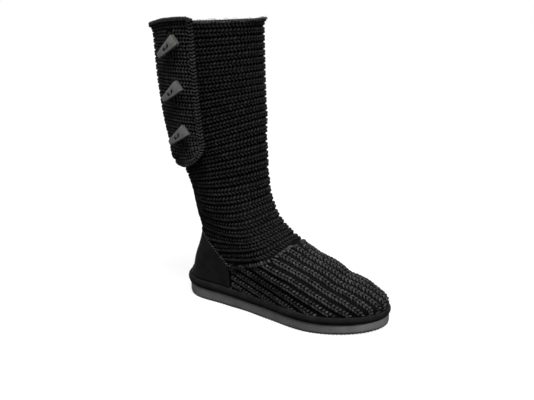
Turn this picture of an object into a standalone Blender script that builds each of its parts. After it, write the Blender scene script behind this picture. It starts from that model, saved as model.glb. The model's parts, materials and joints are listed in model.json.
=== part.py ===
"""A knitted boot for the right foot: ribbed shaft, buttoned flap, heel counter and flat sole.

Metres. X runs from heel to toe, Y towards the inner side of the foot, Z up.
The origin is on the floor, under the middle of the heel.

Every curved piece comes from one form, a stack of level loops. A place on it has a
height and a turn: 0 at the back, a quarter on the outer side, a half at the front.
"""

import math

import bmesh
import bpy
import numpy as np
from mathutils import Matrix, Vector

# Driving sizes of the form
BOOT_LENGTH = 0.268
BALL_WIDTH = 0.0896
ANKLE_HEIGHT = 0.120
COLLAR_HEIGHT = 0.335
SHAFT_DEPTH = 0.131
SHAFT_WIDTH = 0.107
TOE_SPRING = 0.0025

# Sole
SOLE_AT_HEEL = 0.0149
SOLE_AT_TOE = 0.0112
SOLE_EDGE = 0.0022
SOLE_CORNER = 0.0008
ARCH_RISE = 0.0008
TOOTH_HEIGHT = 0.0030
TOOTH_DEPTH = 0.0012
TOOTH_PITCH = 0.0044
RIM_AT_HEEL = 0.0105
RIM_AT_TOE = 0.0082
RIM_BULGE = 0.0046

# Knitted walls
FOOT_WALL = 0.0030
SHAFT_WALL = 0.0034
RIB_PITCH = 0.0080
RIB_DEPTH = 0.0014
SEAM_LIP = 0.0012
COLLAR_FLARE = 0.0022

# Heel counter and insole
COUNTER_THICKNESS = 0.0015
COUNTER_PROUD = 0.0004
INSOLE_THICKNESS = 0.0040

# Flap, with its places on the shaft as turns in degrees
FLAP_THICKNESS = 0.0034
FLAP_LENGTH = 0.169
FLAP_OVERHANG = 0.002
FLAP_REAR = 20.0
FLAP_FRONT = 105.5
FLAP_STAND = 0.0080
FLAP_CORNER = 0.037
FLAP_FLARE = 0.0018
FLAP_EDGE_WIDTH = 0.0050
FLAP_EDGE_RAISE = 0.0008
BUTTON_TURN = 77.0
BUTTON_DROP = 0.0315
BUTTON_PITCH = 0.0495
BUTTON_COUNT = 3
SLOT_LENGTH = 0.028
SLOT_WIDTH = 0.0030

# Toggles and their threads
TOGGLE_LENGTH = 0.037
TOGGLE_WIDE_END = 0.0135
TOGGLE_NARROW_END = 0.0050
TOGGLE_THICKNESS = 0.0040
TOGGLE_SLANT = 0.0020
TOGGLE_CHAMFER = 0.0006
TOGGLE_TILT = 31.0
HOLE_SPACING = 0.0075
HOLE_DIAMETER = 0.0030
THREAD_THICKNESS = 0.0016

# Clearance between neighbours
CLEARANCE = 0.0003

# Foot sections: heights as shares of ANKLE_HEIGHT, back and front as shares of
# BOOT_LENGTH, and half widths at five turns as shares of BALL_WIDTH
FOOT_SECTIONS = (
    # height, back, front, at 30, at 60, at 90, at 120, at 150
    (0.117, 0.019, 0.981, 0.329, 0.373, 0.394, 0.500, 0.335),
    (0.250, 0.022, 0.978, 0.329, 0.373, 0.394, 0.500, 0.335),
    (0.283, 0.032, 0.956, 0.329, 0.373, 0.394, 0.500, 0.335),
    (0.333, 0.040, 0.919, 0.329, 0.373, 0.394, 0.497, 0.335),
    (0.417, 0.053, 0.831, 0.329, 0.373, 0.404, 0.480, 0.328),
    (0.483, 0.064, 0.784, 0.319, 0.373, 0.404, 0.465, 0.310),
    (0.550, 0.078, 0.716, 0.308, 0.373, 0.404, 0.440, 0.285),
    (0.633, 0.091, 0.640, 0.287, 0.373, 0.404, 0.415, 0.262),
    (0.750, 0.101, 0.556, 0.266, 0.366, 0.404, 0.390, 0.240),
    (0.875, 0.080, 0.491, 0.250, 0.373, 0.415, 0.375, 0.222),
)

# Leg sections: heights as shares of the leg above the ankle, back and front as shares
# of SHAFT_DEPTH from the leg's axis, and half widths as shares of SHAFT_WIDTH
LEG_SECTIONS = (
    # height, back, front, at 30, at 60, at 90, at 120, at 150
    (0.000, 0.173, 0.606, 0.198, 0.340, 0.372, 0.325, 0.188),
    (0.093, 0.210, 0.553, 0.196, 0.338, 0.392, 0.338, 0.196),
    (0.233, 0.320, 0.534, 0.205, 0.356, 0.409, 0.356, 0.205),
    (0.419, 0.429, 0.527, 0.214, 0.374, 0.427, 0.374, 0.214),
    (0.651, 0.485, 0.512, 0.232, 0.401, 0.464, 0.401, 0.232),
    (1.000, 0.508, 0.494, 0.250, 0.433, 0.500, 0.433, 0.250),
)
LEG_AXIS = 0.150 * BOOT_LENGTH
WIDTH_TURNS = (30, 60, 90, 120, 150)

# Sideways bend of the foot: place as a share of BOOT_LENGTH, shift as a share of BALL_WIDTH
FOOT_BEND = (
    # place, shift
    (0.000, 0.000),
    (0.085, 0.000),
    (0.260, -0.022),
    (0.500, -0.056),
    (0.740, 0.000),
    (0.915, 0.089),
    (1.000, 0.134),
)
BEND_FADE_FROM = 0.75 * ANKLE_HEIGHT
BEND_FADE_TO = 1.17 * ANKLE_HEIGHT

# Seam between foot and shaft, ahead of the counter: place as a share of BOOT_LENGTH,
# height as a share of ANKLE_HEIGHT. Behind it the seam climbs the counter's edge.
SEAM = (
    # place, height
    (0.3075, 0.412),
    (0.410, 0.503),
    (0.500, 0.583),
    (0.554, 0.648),
    (0.578, 0.705),
    (0.600, 0.760),
)
COUNTER_CORNER = SEAM[0][0] * BOOT_LENGTH
COUNTER_TOP = 0.717 * ANKLE_HEIGHT
COUNTER_SLOPE = 0.81
STEP_RUN = 0.0005

# Valleys between the shaft's ribs, counted from the collar: height at the front as a
# share of COLLAR_HEIGHT, lean to the back and droop at the sides as shares of SHAFT_DEPTH
RIB_LINES = (
    # number, height, lean, droop
    (0, 1.000, 0.000, 0.000),
    (3, 0.925, 0.038, 0.008),
    (8, 0.809, 0.061, 0.008),
    (11, 0.743, 0.099, 0.015),
    (14, 0.672, 0.122, 0.023),
    (19, 0.525, 0.092, 0.004),
    (22, 0.430, 0.031, 0.038),
    (23, 0.403, 0.023, 0.053),
    (27, 0.307, 0.046, 0.061),
    (29, 0.275, 0.130, 0.023),
    (30, 0.257, 0.145, 0.038),
    (33, 0.203, 0.168, 0.046),
)

# Places along the sole
HEEL_REST = 0.130 * BOOT_LENGTH
SPRING_FROM = 0.615 * BOOT_LENGTH
ARCH_FROM = 0.300 * BOOT_LENGTH
ARCH_TO = 0.520 * BOOT_LENGTH
FEATHER_HEIGHT = 0.235 * ANKLE_HEIGHT

# Fineness of the meshes
BACK_COLUMNS = 7
FRONT_COLUMNS = 10
FOOT_RINGS = 12
FOOT_INNER_RINGS = 7
SHAFT_INNER_RINGS = 10
COUNTER_RINGS = 9
SOLE_COLUMNS = 72
TEETH_PER_COLUMN = 2


def smooth_step(value):
    """Ease from 0 to 1."""
    value = np.clip(value, 0.0, 1.0)
    return value * value * (3.0 - 2.0 * value)


def through(at, places, values):
    """Read a smooth curve that passes through each row of a table."""
    places = np.asarray(places, float)
    values = np.asarray(values, float)
    flat = values.ndim == 1
    if flat:
        values = values[:, None]
    steps = np.diff(places)
    slopes = np.diff(values, axis=0) / steps[:, None]
    tangents = np.zeros_like(values)
    weighted = slopes[:-1] * steps[1:, None] + slopes[1:] * steps[:-1, None]
    tangents[1:-1] = weighted / (steps[:-1] + steps[1:])[:, None]
    tangents[0] = slopes[0]
    tangents[-1] = slopes[-1]
    at = np.clip(np.asarray(at, float), places[0], places[-1])
    row = np.clip(np.searchsorted(places, at, side="right") - 1, 0, len(places) - 2)
    part = ((at - places[row]) / steps[row])[..., None]
    step = steps[row][..., None]
    square = part * part
    cube = square * part
    result = (2 * cube - 3 * square + 1) * values[row] + (3 * square - 2 * cube) * values[row + 1]
    result = result + (cube - 2 * square + part) * step * tangents[row]
    result = result + (cube - square) * step * tangents[row + 1]
    return result[..., 0] if flat else result


def section_rows():
    """Join both section tables into rows of height, back, front and five half widths."""
    rows = []
    for height, back, front, *widths in FOOT_SECTIONS:
        row = [height * ANKLE_HEIGHT, back * BOOT_LENGTH, front * BOOT_LENGTH]
        rows.append(row + [width * BALL_WIDTH for width in widths])
    for height, back, front, *widths in LEG_SECTIONS:
        level = ANKLE_HEIGHT + height * (COLLAR_HEIGHT - ANKLE_HEIGHT)
        row = [level, LEG_AXIS - back * SHAFT_DEPTH, LEG_AXIS + front * SHAFT_DEPTH]
        rows.append(row + [width * SHAFT_WIDTH for width in widths])
    return np.array(rows)


SECTIONS = section_rows()
BEND = np.array(FOOT_BEND) * (BOOT_LENGTH, BALL_WIDTH)
SEAM_LINE = np.array(SEAM) * (BOOT_LENGTH, ANKLE_HEIGHT)
RIB_ROWS = np.array(RIB_LINES) * (1.0, COLLAR_HEIGHT, SHAFT_DEPTH, SHAFT_DEPTH)


def loop_place(height, turn):
    """Return x from the heel's back, y, and the loop's own centre and half depth."""
    row = through(height, SECTIONS[:, 0], SECTIONS[:, 1:])
    half_depth = (row[..., 1] - row[..., 0]) / 2
    centre = (row[..., 1] + row[..., 0]) / 2
    turn = np.mod(turn, 2 * math.pi)
    folded = np.where(turn > math.pi, 2 * math.pi - turn, turn)
    factors = row[..., 2:] / np.sin(np.radians(WIDTH_TURNS))
    first = factors[..., :1]
    last = factors[..., -1:]
    factors = np.concatenate([first, first, factors, last, last], axis=-1)
    keys = np.radians(np.arange(-30, 211, 30))
    cell = np.clip(np.searchsorted(keys, folded, side="right") - 1, 1, len(keys) - 3)
    part = (folded - keys[cell]) / (keys[1] - keys[0])

    def factor(step):
        return np.take_along_axis(factors, (cell + step)[..., None], axis=-1)[..., 0]

    before, here, after, beyond = factor(-1), factor(0), factor(1), factor(2)
    width = here + 0.5 * part * (after - before)
    width = width + 0.5 * part**2 * (2 * before - 5 * here + 4 * after - beyond)
    width = width + 0.5 * part**3 * (3 * here - before - 3 * after + beyond)
    x = centre - half_depth * np.cos(folded)
    side = np.where(turn > math.pi, 1.0, -1.0)
    fade = smooth_step((BEND_FADE_TO - height) / (BEND_FADE_TO - BEND_FADE_FROM))
    y = through(x, BEND[:, 0], BEND[:, 1]) * fade + side * width * np.sin(folded)
    return x, y, centre, half_depth


def form_place(height, turn):
    """Return a place on the form, still without toe spring, measured from the heel's back."""
    height, turn = np.broadcast_arrays(np.asarray(height, float), np.asarray(turn, float))
    x, y, _, _ = loop_place(height, turn)
    return np.stack([x, y, height], axis=-1)


def toe_lift(x):
    """Return how far the toe spring lifts a place."""
    share = np.clip((x - SPRING_FROM) / (BOOT_LENGTH - SPRING_FROM), 0.0, None)
    return TOE_SPRING * share * share


def settle(places):
    """Add the toe spring, and measure from the origin under the heel."""
    settled = np.array(places, float)
    settled[..., 2] += toe_lift(settled[..., 0])
    settled[..., 0] -= HEEL_REST
    return settled


def form_normal(height, turn):
    """Return the form's outward normal."""
    turn_step = 0.01
    height_step = 0.0005
    around = form_place(height, turn + turn_step) - form_place(height, turn - turn_step)
    up = form_place(height + height_step, turn) - form_place(height - height_step, turn)
    normal = np.cross(around, up)
    return normal / np.linalg.norm(normal, axis=-1, keepdims=True)


def form_offset(height, turn, offset):
    """Return places at a distance outside the form."""
    height, turn, offset = np.broadcast_arrays(height, turn, offset)
    return settle(form_place(height, turn) + form_normal(height, turn) * offset[..., None])


def form_ring(height, turn, offset):
    """Return places at a level distance outside the form, keeping their heights."""
    height, turn, offset = np.broadcast_arrays(height, turn, offset)
    normal = form_normal(height, turn)
    normal[..., 2] = 0.0
    normal /= np.linalg.norm(normal, axis=-1, keepdims=True)
    return settle(form_place(height, turn) + normal * offset[..., None])


def turn_at(height, x):
    """Return the turn on the outer side where a loop passes a place along the foot."""
    _, _, centre, half_depth = loop_place(height, np.zeros_like(height))
    return np.arccos(np.clip((centre - x) / half_depth, -1.0, 1.0))


def sole_top(x):
    """Return the height of the sole's upper face, before toe spring."""
    return SOLE_AT_HEEL + (SOLE_AT_TOE - SOLE_AT_HEEL) * x / BOOT_LENGTH


def rim_top(x):
    """Return the height of the rim's upper edge, before toe spring."""
    return sole_top(x) + RIM_AT_HEEL + (RIM_AT_TOE - RIM_AT_HEEL) * x / BOOT_LENGTH


def seam_height(x):
    """Return the height of the line where foot and shaft meet."""
    ahead = through(x, SEAM_LINE[:, 0], SEAM_LINE[:, 1])
    climb = SEAM_LINE[0, 1] + COUNTER_SLOPE * (COUNTER_CORNER - x)
    return np.where(x < COUNTER_CORNER, np.minimum(climb, COUNTER_TOP), ahead)


def column_turns(height, half):
    """Return the turns of all columns, given each height and the columns of the outer half.

    A column below 1 lies behind the counter's corner and one above 1 ahead of it.
    """
    corner = turn_at(height, COUNTER_CORNER)
    turns = np.where(half < 1.0, half * corner, corner + (half - 1.0) * (math.pi - corner))
    return turns


def columns(back_step=False, refine=1):
    """Return shares of the way round one half, and for each column its side."""
    back = np.arange(0, BACK_COLUMNS * refine) / (BACK_COLUMNS * refine)
    front = 1.0 + np.arange(0, FRONT_COLUMNS * refine + 1) / (FRONT_COLUMNS * refine)
    half = np.concatenate([back, [-1.0] if back_step else [], front])
    share = np.concatenate([half, half[-2:0:-1]])
    side = np.concatenate([np.ones(len(half)), -np.ones(len(half) - 2)])
    return share, side


def turns_of(height, share, side):
    """Return each column's turn at its height; a share of -1 is the counter's step."""
    plain = column_turns(height, np.abs(share))
    stepped = turn_at(height, COUNTER_CORNER - STEP_RUN)
    turn = np.where(share < 0.0, stepped, plain)
    return np.where(side > 0, turn, 2 * math.pi - turn)


def solve_height(target, share, side):
    """Find each column's height where the form meets a level that depends on the place."""
    low = np.full(len(share), 0.05 * ANKLE_HEIGHT)
    high = np.full(len(share), ANKLE_HEIGHT)
    for _ in range(40):
        middle = (low + high) / 2
        x = form_place(middle, turns_of(middle, share, side))[:, 0]
        below = middle < target(x)
        low = np.where(below, middle, low)
        high = np.where(below, high, middle)
    return (low + high) / 2


def even_heights(bottom, top, share, side, count):
    """Space heights evenly along each column's own length."""
    fine = np.linspace(0.0, 1.0, 60)
    heights = bottom + (top - bottom) * fine[:, None]
    places = np.array([form_place(row, turns_of(row, share, side)) for row in heights])
    lengths = np.linalg.norm(np.diff(places, axis=0), axis=-1)
    run = np.concatenate([np.zeros((1, len(share))), np.cumsum(lengths, axis=0)])
    run /= run[-1]
    wanted = np.linspace(0.0, 1.0, count)
    columns_out = [np.interp(wanted, run[:, i], heights[:, i]) for i in range(len(share))]
    return np.array(columns_out).T


def make_material(name, colour, roughness, metallic=0.0):
    """Return a plain material."""
    material = bpy.data.materials.new(name)
    material.use_nodes = True
    shader = material.node_tree.nodes["Principled BSDF"]
    shader.inputs["Base Color"].default_value = (*colour, 1.0)
    shader.inputs["Roughness"].default_value = roughness
    shader.inputs["Metallic"].default_value = metallic
    return material


def make_object(name, mesh_data, material, parent):
    """Turn a bmesh into a named object with its faces out."""
    bmesh.ops.remove_doubles(mesh_data, verts=mesh_data.verts, dist=0.000001)
    bmesh.ops.recalc_face_normals(mesh_data, faces=mesh_data.faces)
    mesh = bpy.data.meshes.new(name)
    mesh_data.to_mesh(mesh)
    mesh_data.free()
    mesh.shade_smooth()
    mesh.set_sharp_from_angle(angle=math.radians(35))
    mesh.materials.append(material)
    piece = bpy.data.objects.new(name, mesh)
    bpy.context.scene.collection.objects.link(piece)
    piece.parent = parent
    return piece


def add_band(mesh_data, lower, upper):
    """Join two closed rings; the lower may have a whole number of times more points."""
    count = len(upper)
    ratio = len(lower) // count
    middle = ratio // 2
    for i in range(count):
        after = (i + 1) % count
        if ratio == 1:
            mesh_data.faces.new((lower[i], lower[after], upper[after], upper[i]))
            continue
        fine = [lower[(i * ratio + k) % len(lower)] for k in range(ratio + 1)]
        for k in range(ratio):
            tip = upper[i] if k < middle else upper[after]
            mesh_data.faces.new((fine[k], fine[k + 1], tip))
        mesh_data.faces.new((upper[i], fine[middle], upper[after]))


def add_ladder(mesh_data, ring):
    """Close a ring that is symmetric from back to front with strips across it."""
    count = len(ring)
    mesh_data.faces.new((ring[0], ring[1], ring[-1]))
    for i in range(1, count // 2 - 1):
        mesh_data.faces.new((ring[i], ring[i + 1], ring[count - i - 1], ring[count - i]))
    last = count // 2
    mesh_data.faces.new((ring[last - 1], ring[last], ring[last + 1]))


def add_rings(mesh_data, rings):
    """Add the points of each ring."""
    return [[mesh_data.verts.new(place) for place in ring] for ring in rings]


def make_tube(rings):
    """Return a closed wall from rings that run up its outside and down its inside."""
    mesh_data = bmesh.new()
    loops = add_rings(mesh_data, rings)
    for lower, upper in zip(loops, loops[1:] + loops[:1]):
        add_band(mesh_data, lower, upper)
    return mesh_data


def make_panel(outer, inner, present):
    """Return a closed panel from two grids of places, without the cells that are absent."""
    mesh_data = bmesh.new()
    faces_out = [[mesh_data.verts.new(place) for place in row] for row in outer]
    faces_in = [[mesh_data.verts.new(place) for place in row] for row in inner]
    rows, cells = present.shape

    def is_there(i, j):
        return 0 <= i < rows and 0 <= j < cells and present[i, j]

    for i in range(rows):
        for j in range(cells):
            if not present[i, j]:
                continue
            corners = ((i, j), (i, j + 1), (i + 1, j + 1), (i + 1, j))
            mesh_data.faces.new([faces_out[a][b] for a, b in corners])
            mesh_data.faces.new([faces_in[a][b] for a, b in reversed(corners)])
            beside = ((i - 1, j), (i, j + 1), (i + 1, j), (i, j - 1))
            for (a, b), (c, d), near in zip(corners, corners[1:] + corners[:1], beside):
                if not is_there(*near):
                    mesh_data.faces.new((faces_out[a][b], faces_in[a][b], faces_in[c][d], faces_out[c][d]))
    used = [vert for vert in mesh_data.verts if not vert.link_faces]
    bmesh.ops.delete(mesh_data, geom=used, context="VERTS")
    return mesh_data


def sole_outline(count):
    """Return turns at even steps along the feather line, symmetric from back to front."""
    fine = np.linspace(0.0, math.pi, 721)
    places = form_place(FEATHER_HEIGHT, fine)
    run = np.concatenate([[0.0], np.cumsum(np.linalg.norm(np.diff(places, axis=0), axis=-1))])
    half = np.interp(np.linspace(0.0, run[-1], count // 2 + 1), run, fine)
    return np.concatenate([half, 2 * math.pi - half[-2:0:-1]]), run[-1]


def sole_bottom(x):
    """Return the height of the tread, with its slight arch."""
    share = np.clip((x - ARCH_FROM) / (ARCH_TO - ARCH_FROM), 0.0, 1.0)
    return ARCH_RISE * np.sin(math.pi * share) ** 2


def sole_ring(turns, offset, level):
    """Return an outline ring at a distance from the feather line, at a level from its place."""
    places = form_place(FEATHER_HEIGHT, turns)
    normal = form_normal(np.full(len(turns), FEATHER_HEIGHT), turns)
    normal[:, 2] = 0.0
    normal /= np.linalg.norm(normal, axis=-1, keepdims=True)
    places = places + normal * np.asarray(offset)[..., None]
    places[:, 2] = level(places[:, 0])
    return settle(places)


def outsole(material, parent):
    """Flat sole with a finely toothed lower edge."""
    _, half_run = sole_outline(SOLE_COLUMNS)
    coarse_count = 2 * round(half_run / (TOOTH_PITCH * TEETH_PER_COLUMN))
    coarse, _ = sole_outline(coarse_count)
    fine, _ = sole_outline(coarse_count * TEETH_PER_COLUMN * 2)
    tooth = np.where(np.arange(len(fine)) % 2 == 0, 0.0, TOOTH_DEPTH)
    tread_inset = SOLE_EDGE - 2.5 * TOOTH_DEPTH

    def above(level):
        return lambda x: sole_bottom(x) + level

    def below(level):
        return lambda x: sole_top(x) - level

    edge = SOLE_EDGE - SOLE_CORNER
    rings = [
        sole_ring(coarse, np.full(len(coarse), tread_inset), above(0.0)),
        sole_ring(fine, edge - tooth, above(0.0)),
        sole_ring(fine, edge + SOLE_CORNER / 2 - tooth, above(0.7 * TOOTH_HEIGHT)),
        sole_ring(coarse, np.full(len(coarse), SOLE_EDGE), above(TOOTH_HEIGHT)),
        sole_ring(coarse, np.full(len(coarse), SOLE_EDGE), below(SOLE_CORNER)),
        sole_ring(coarse, np.full(len(coarse), edge), below(0.0)),
    ]
    mesh_data = bmesh.new()
    loops = add_rings(mesh_data, rings)
    add_band(mesh_data, loops[1], loops[0])
    add_band(mesh_data, loops[1], loops[2])
    add_band(mesh_data, loops[2], loops[3])
    add_band(mesh_data, loops[3], loops[4])
    add_band(mesh_data, loops[4], loops[5])
    add_ladder(mesh_data, loops[0])
    add_ladder(mesh_data, loops[5])
    return make_object("outsole", mesh_data, material, parent)


def rim_band(material, parent):
    """Covered rim that wraps the foot above the sole."""
    share, side = columns(refine=2)
    foot = solve_height(lambda x: sole_top(x) + CLEARANCE, share, side)
    head = solve_height(rim_top, share, side)
    profile = (
        # share of the height, offset
        (0.00, SOLE_EDGE + CLEARANCE),
        (0.22, 0.5 * (SOLE_EDGE + RIM_BULGE)),
        (0.52, RIM_BULGE),
        (0.80, 0.78 * RIM_BULGE),
        (0.96, 0.42 * RIM_BULGE),
        (1.00, 0.20 * RIM_BULGE),
        (0.94, CLEARANCE),
        (0.00, CLEARANCE),
    )
    rings = []
    for part, offset in profile:
        height = foot + (head - foot) * part
        ring = form_ring(height, turns_of(height, share, side), offset)
        if offset == CLEARANCE:
            # The inner face runs straight between the foot's own columns
            ring[1::2] = (ring[0::2] + np.roll(ring[0::2], -1, axis=0)) / 2
        rings.append(ring)
    return make_object("rim_band", make_tube(rings), material, parent)


def upper(material, parent):
    """Knitted foot of the boot, hollow, open underneath and at the ankle."""
    share, side = columns(back_step=True)
    bottom = solve_height(lambda x: sole_top(x) + CLEARANCE, share, side)
    rim_edge = solve_height(rim_top, share, side)
    top = solve_height(seam_height, share, side)
    behind = share < 1.0
    recess = COUNTER_THICKNESS - COUNTER_PROUD + 2 * CLEARANCE
    heights = even_heights(rim_edge + STEP_RUN / 2, top, share, side, FOOT_RINGS)
    rings = []
    for height in (bottom, rim_edge - STEP_RUN / 2):
        rings.append(form_ring(height, turns_of(height, share, side), 0.0))
    for number, height in enumerate(heights):
        turns = turns_of(height, share, side)
        x = form_place(height, turns)[:, 0]
        ahead = smooth_step((x - COUNTER_CORNER) / (0.12 * BOOT_LENGTH))
        lip = {FOOT_RINGS - 2: 0.7, FOOT_RINGS - 1: 0.4}.get(number, 0.0)
        offset = np.where(behind, -recess, lip * SEAM_LIP * ahead)
        rings.append(form_offset(height, turns, offset))
    for height in even_heights(bottom, top, share, side, FOOT_INNER_RINGS)[::-1]:
        turns = turns_of(height, share, side)
        rings.append(form_offset(height, turns, -FOOT_WALL))
    rings[-1][:, 2] = rings[0][:, 2]
    return make_object("upper", make_tube(rings), material, parent)


def rib_height(number, turn):
    """Return the height of a valley, or of a rib halfway between two valleys."""
    front, lean, droop = through(number, RIB_ROWS[:, 0], RIB_ROWS[:, 1:])
    return front - lean * (1.0 + np.cos(turn)) - droop * np.sin(turn) ** 2


def under_flap(height, turn):
    """Return 1 on the part of the shaft that the flap hides, fading to 0 at its edges."""
    fade = math.radians(9.0)
    rear = smooth_step((turn - math.radians(FLAP_REAR)) / fade + 0.5)
    front = smooth_step((math.radians(FLAP_FRONT) - turn) / fade - 0.5)
    foot = smooth_step((height - flap_bottom(turn)) / RIB_PITCH - 0.5)
    return rear * front * foot


def shaft(material, parent):
    """Knitted leg of the boot: a tube of ribs, open at the collar and at the ankle."""
    share, side = columns()
    seam = solve_height(seam_height, share, side) + 1.5 * CLEARANCE
    snap = 0.25 * RIB_PITCH
    rings = [form_offset(seam, turns_of(seam, share, side), 0.0)]
    flare_from = COLLAR_HEIGHT - RIB_PITCH
    for number in np.arange(RIB_LINES[-1][0], 1.0, -0.5):
        height = seam
        for _ in range(3):
            turns = turns_of(np.maximum(height, seam), share, side)
            height = rib_height(number, turns)
        held = height < seam + snap
        if held.all():
            continue
        height = np.where(held, seam, height)
        turns = turns_of(height, share, side)
        depth = 0.0 if number % 1.0 else RIB_DEPTH
        valley = depth * (1.0 - under_flap(height, turns))
        rings.append(form_offset(height, turns, np.where(held, 0.0, -valley)))
    top_turns = turns_of(np.full(len(share), COLLAR_HEIGHT), share, side)
    open_side = 1.0 - under_flap(np.full(len(share), COLLAR_HEIGHT), top_turns)
    flare = COLLAR_FLARE * open_side
    rings.append(form_offset(flare_from, top_turns, 0.0))
    rings.append(form_ring(COLLAR_HEIGHT - 0.3 * RIB_PITCH, top_turns, 0.7 * flare))
    rings.append(form_ring(COLLAR_HEIGHT, top_turns, 0.8 * flare - 0.15 * SHAFT_WALL))
    rings.append(form_ring(COLLAR_HEIGHT, top_turns, 0.5 * flare - 0.75 * SHAFT_WALL))
    for part in np.linspace(0.96, 0.0, SHAFT_INNER_RINGS):
        height = seam + (COLLAR_HEIGHT - seam) * part
        rings.append(form_offset(height, turns_of(height, share, side), -SHAFT_WALL))
    return make_object("shaft", make_tube(rings), material, parent)


def heel_counter(material, parent):
    """Smooth overlay round the heel, set into a step of the foot's wall."""
    front = 1.0 - np.arange(0, BACK_COLUMNS + 1) / BACK_COLUMNS
    share = np.concatenate([front, front[-2::-1]])
    side = np.concatenate([np.ones(len(front)), -np.ones(len(front) - 1)])
    edge = share > 0.999

    def turns_for(height):
        turn = turns_of(height, share, np.ones(len(share)))
        stepped = turn_at(height, COUNTER_CORNER - STEP_RUN - CLEARANCE)
        turn = np.where(edge, stepped, turn)
        return np.where(side > 0, turn, -turn)

    bottom = solve_height(rim_top, share, side) + STEP_RUN / 2 + CLEARANCE
    seam = solve_height(seam_height, share, side)
    top = np.where(edge, seam + STEP_RUN * COUNTER_SLOPE, seam)
    outer = []
    inner = []
    for part in np.linspace(0.0, 1.0, COUNTER_RINGS):
        height = bottom + (top - bottom) * part
        turns = turns_for(height)
        outer.append(form_ring(height, turns, COUNTER_PROUD))
        inner.append(form_ring(height, turns, COUNTER_PROUD - COUNTER_THICKNESS))
    present = np.ones((COUNTER_RINGS - 1, len(share) - 1), bool)
    mesh_data = make_panel(outer, inner, present)
    return make_object("heel_counter", mesh_data, material, parent)


def insole(material, parent):
    """Flat insole on the sole, inside the foot."""
    share, side = columns()
    rings = []
    for level in (CLEARANCE, INSOLE_THICKNESS):
        height = solve_height(lambda x: sole_top(x) + level, share, side)
        turns = turns_of(height, share, side)
        ring = form_ring(height, turns, -FOOT_WALL - 2 * CLEARANCE)
        rings.append(ring)
    mesh_data = bmesh.new()
    loops = add_rings(mesh_data, rings)
    add_band(mesh_data, loops[0], loops[1])
    add_ladder(mesh_data, loops[0])
    add_ladder(mesh_data, loops[1])
    return make_object("insole", mesh_data, material, parent)


def flap_bottom(turn):
    """Return the height of the flap's lower edge, rounded towards its front corner."""
    level = COLLAR_HEIGHT + FLAP_OVERHANG - FLAP_LENGTH
    start = math.radians(FLAP_REAR + 0.47 * (FLAP_FRONT - FLAP_REAR))
    end = math.radians(FLAP_FRONT + 1.0)
    share = np.clip((turn - start) / (end - start), 0.0, 1.0)
    return level + FLAP_CORNER * (1.0 - np.sqrt(1.0 - share * share))


def flap_gap(height, turn):
    """Return the air between shaft and flap, which grows to the lower front corner."""
    drop = np.clip((COLLAR_HEIGHT - height) / FLAP_LENGTH, 0.0, 1.0)
    rear = math.radians(FLAP_REAR)
    along = smooth_step((turn - rear) / (math.radians(FLAP_FRONT) - rear))
    return 2 * CLEARANCE + FLAP_STAND * along * drop**1.5


def flap_place(height, turn, depth):
    """Return a place on the flap, its depth measured out from its inner face."""
    top = COLLAR_HEIGHT + FLAP_OVERHANG
    flare = FLAP_FLARE * smooth_step((height - top) / RIB_PITCH + 1.0)
    level = np.minimum(height, COLLAR_HEIGHT)
    place = form_ring(level, turn, flap_gap(height, turn) + flare + depth)
    place[..., 2] = height
    return place


def turn_step(length, height, turn):
    """Return how many radians of turn a length along the shaft takes."""
    small = 0.01
    ends = form_place(height, np.array([turn, turn + small]))
    return length * small / np.linalg.norm(ends[1] - ends[0])


def button_heights():
    """Return the heights of the buttons, from the top down."""
    top = COLLAR_HEIGHT + FLAP_OVERHANG - BUTTON_DROP
    return [top - number * BUTTON_PITCH for number in range(BUTTON_COUNT)]


def button_flap(material, parent):
    """Knitted flap that is buttoned over the outer side of the shaft."""
    top = COLLAR_HEIGHT + FLAP_OVERHANG
    bottom = top - FLAP_LENGTH
    middle = (top + bottom) / 2
    centre = math.radians(BUTTON_TURN)
    front = math.radians(FLAP_FRONT)
    slot = turn_step(SLOT_WIDTH / 2, middle, centre)
    edge = front - turn_step(FLAP_EDGE_WIDTH, middle, front)
    rear_turns = np.linspace(math.radians(FLAP_REAR), centre - slot, 6)
    front_turns = np.linspace(centre + slot, edge, 4)
    step = turn_step(FLAP_EDGE_RAISE, middle, front)
    turns = np.concatenate([rear_turns, front_turns, [edge + step, front - step, front]])
    slot_column = len(rear_turns) - 1
    levels = [bottom, bottom + FLAP_EDGE_WIDTH, bottom + FLAP_EDGE_WIDTH + FLAP_EDGE_RAISE]
    slot_rows = []
    for height in button_heights()[::-1]:
        slot_rows.append(len(levels))
        levels += [height - SLOT_LENGTH / 2, height + SLOT_LENGTH / 2]
    levels += [top - 0.5 * RIB_PITCH, top]
    levels = np.array(levels)
    remap_to = levels[slot_rows[0] + 1] + 0.1 * BUTTON_PITCH
    outer = []
    inner = []
    for number, level in enumerate(levels):
        share = np.clip((remap_to - level) / (remap_to - bottom), 0.0, 1.0)
        height = level + (flap_bottom(turns) - bottom) * share
        raise_row = FLAP_EDGE_RAISE if number < 2 else 0.0
        raised = np.where(turns > edge + 0.5 * step, FLAP_EDGE_RAISE, raise_row)
        thickness = FLAP_THICKNESS + raised
        outer.append(flap_place(height, turns, thickness))
        inner.append(flap_place(height, turns, 0.0))
    present = np.ones((len(levels) - 1, len(turns) - 1), bool)
    for row in slot_rows:
        present[row, slot_column] = False
    mesh_data = make_panel(outer, inner, present)
    return make_object("button_flap", mesh_data, material, parent)


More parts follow.
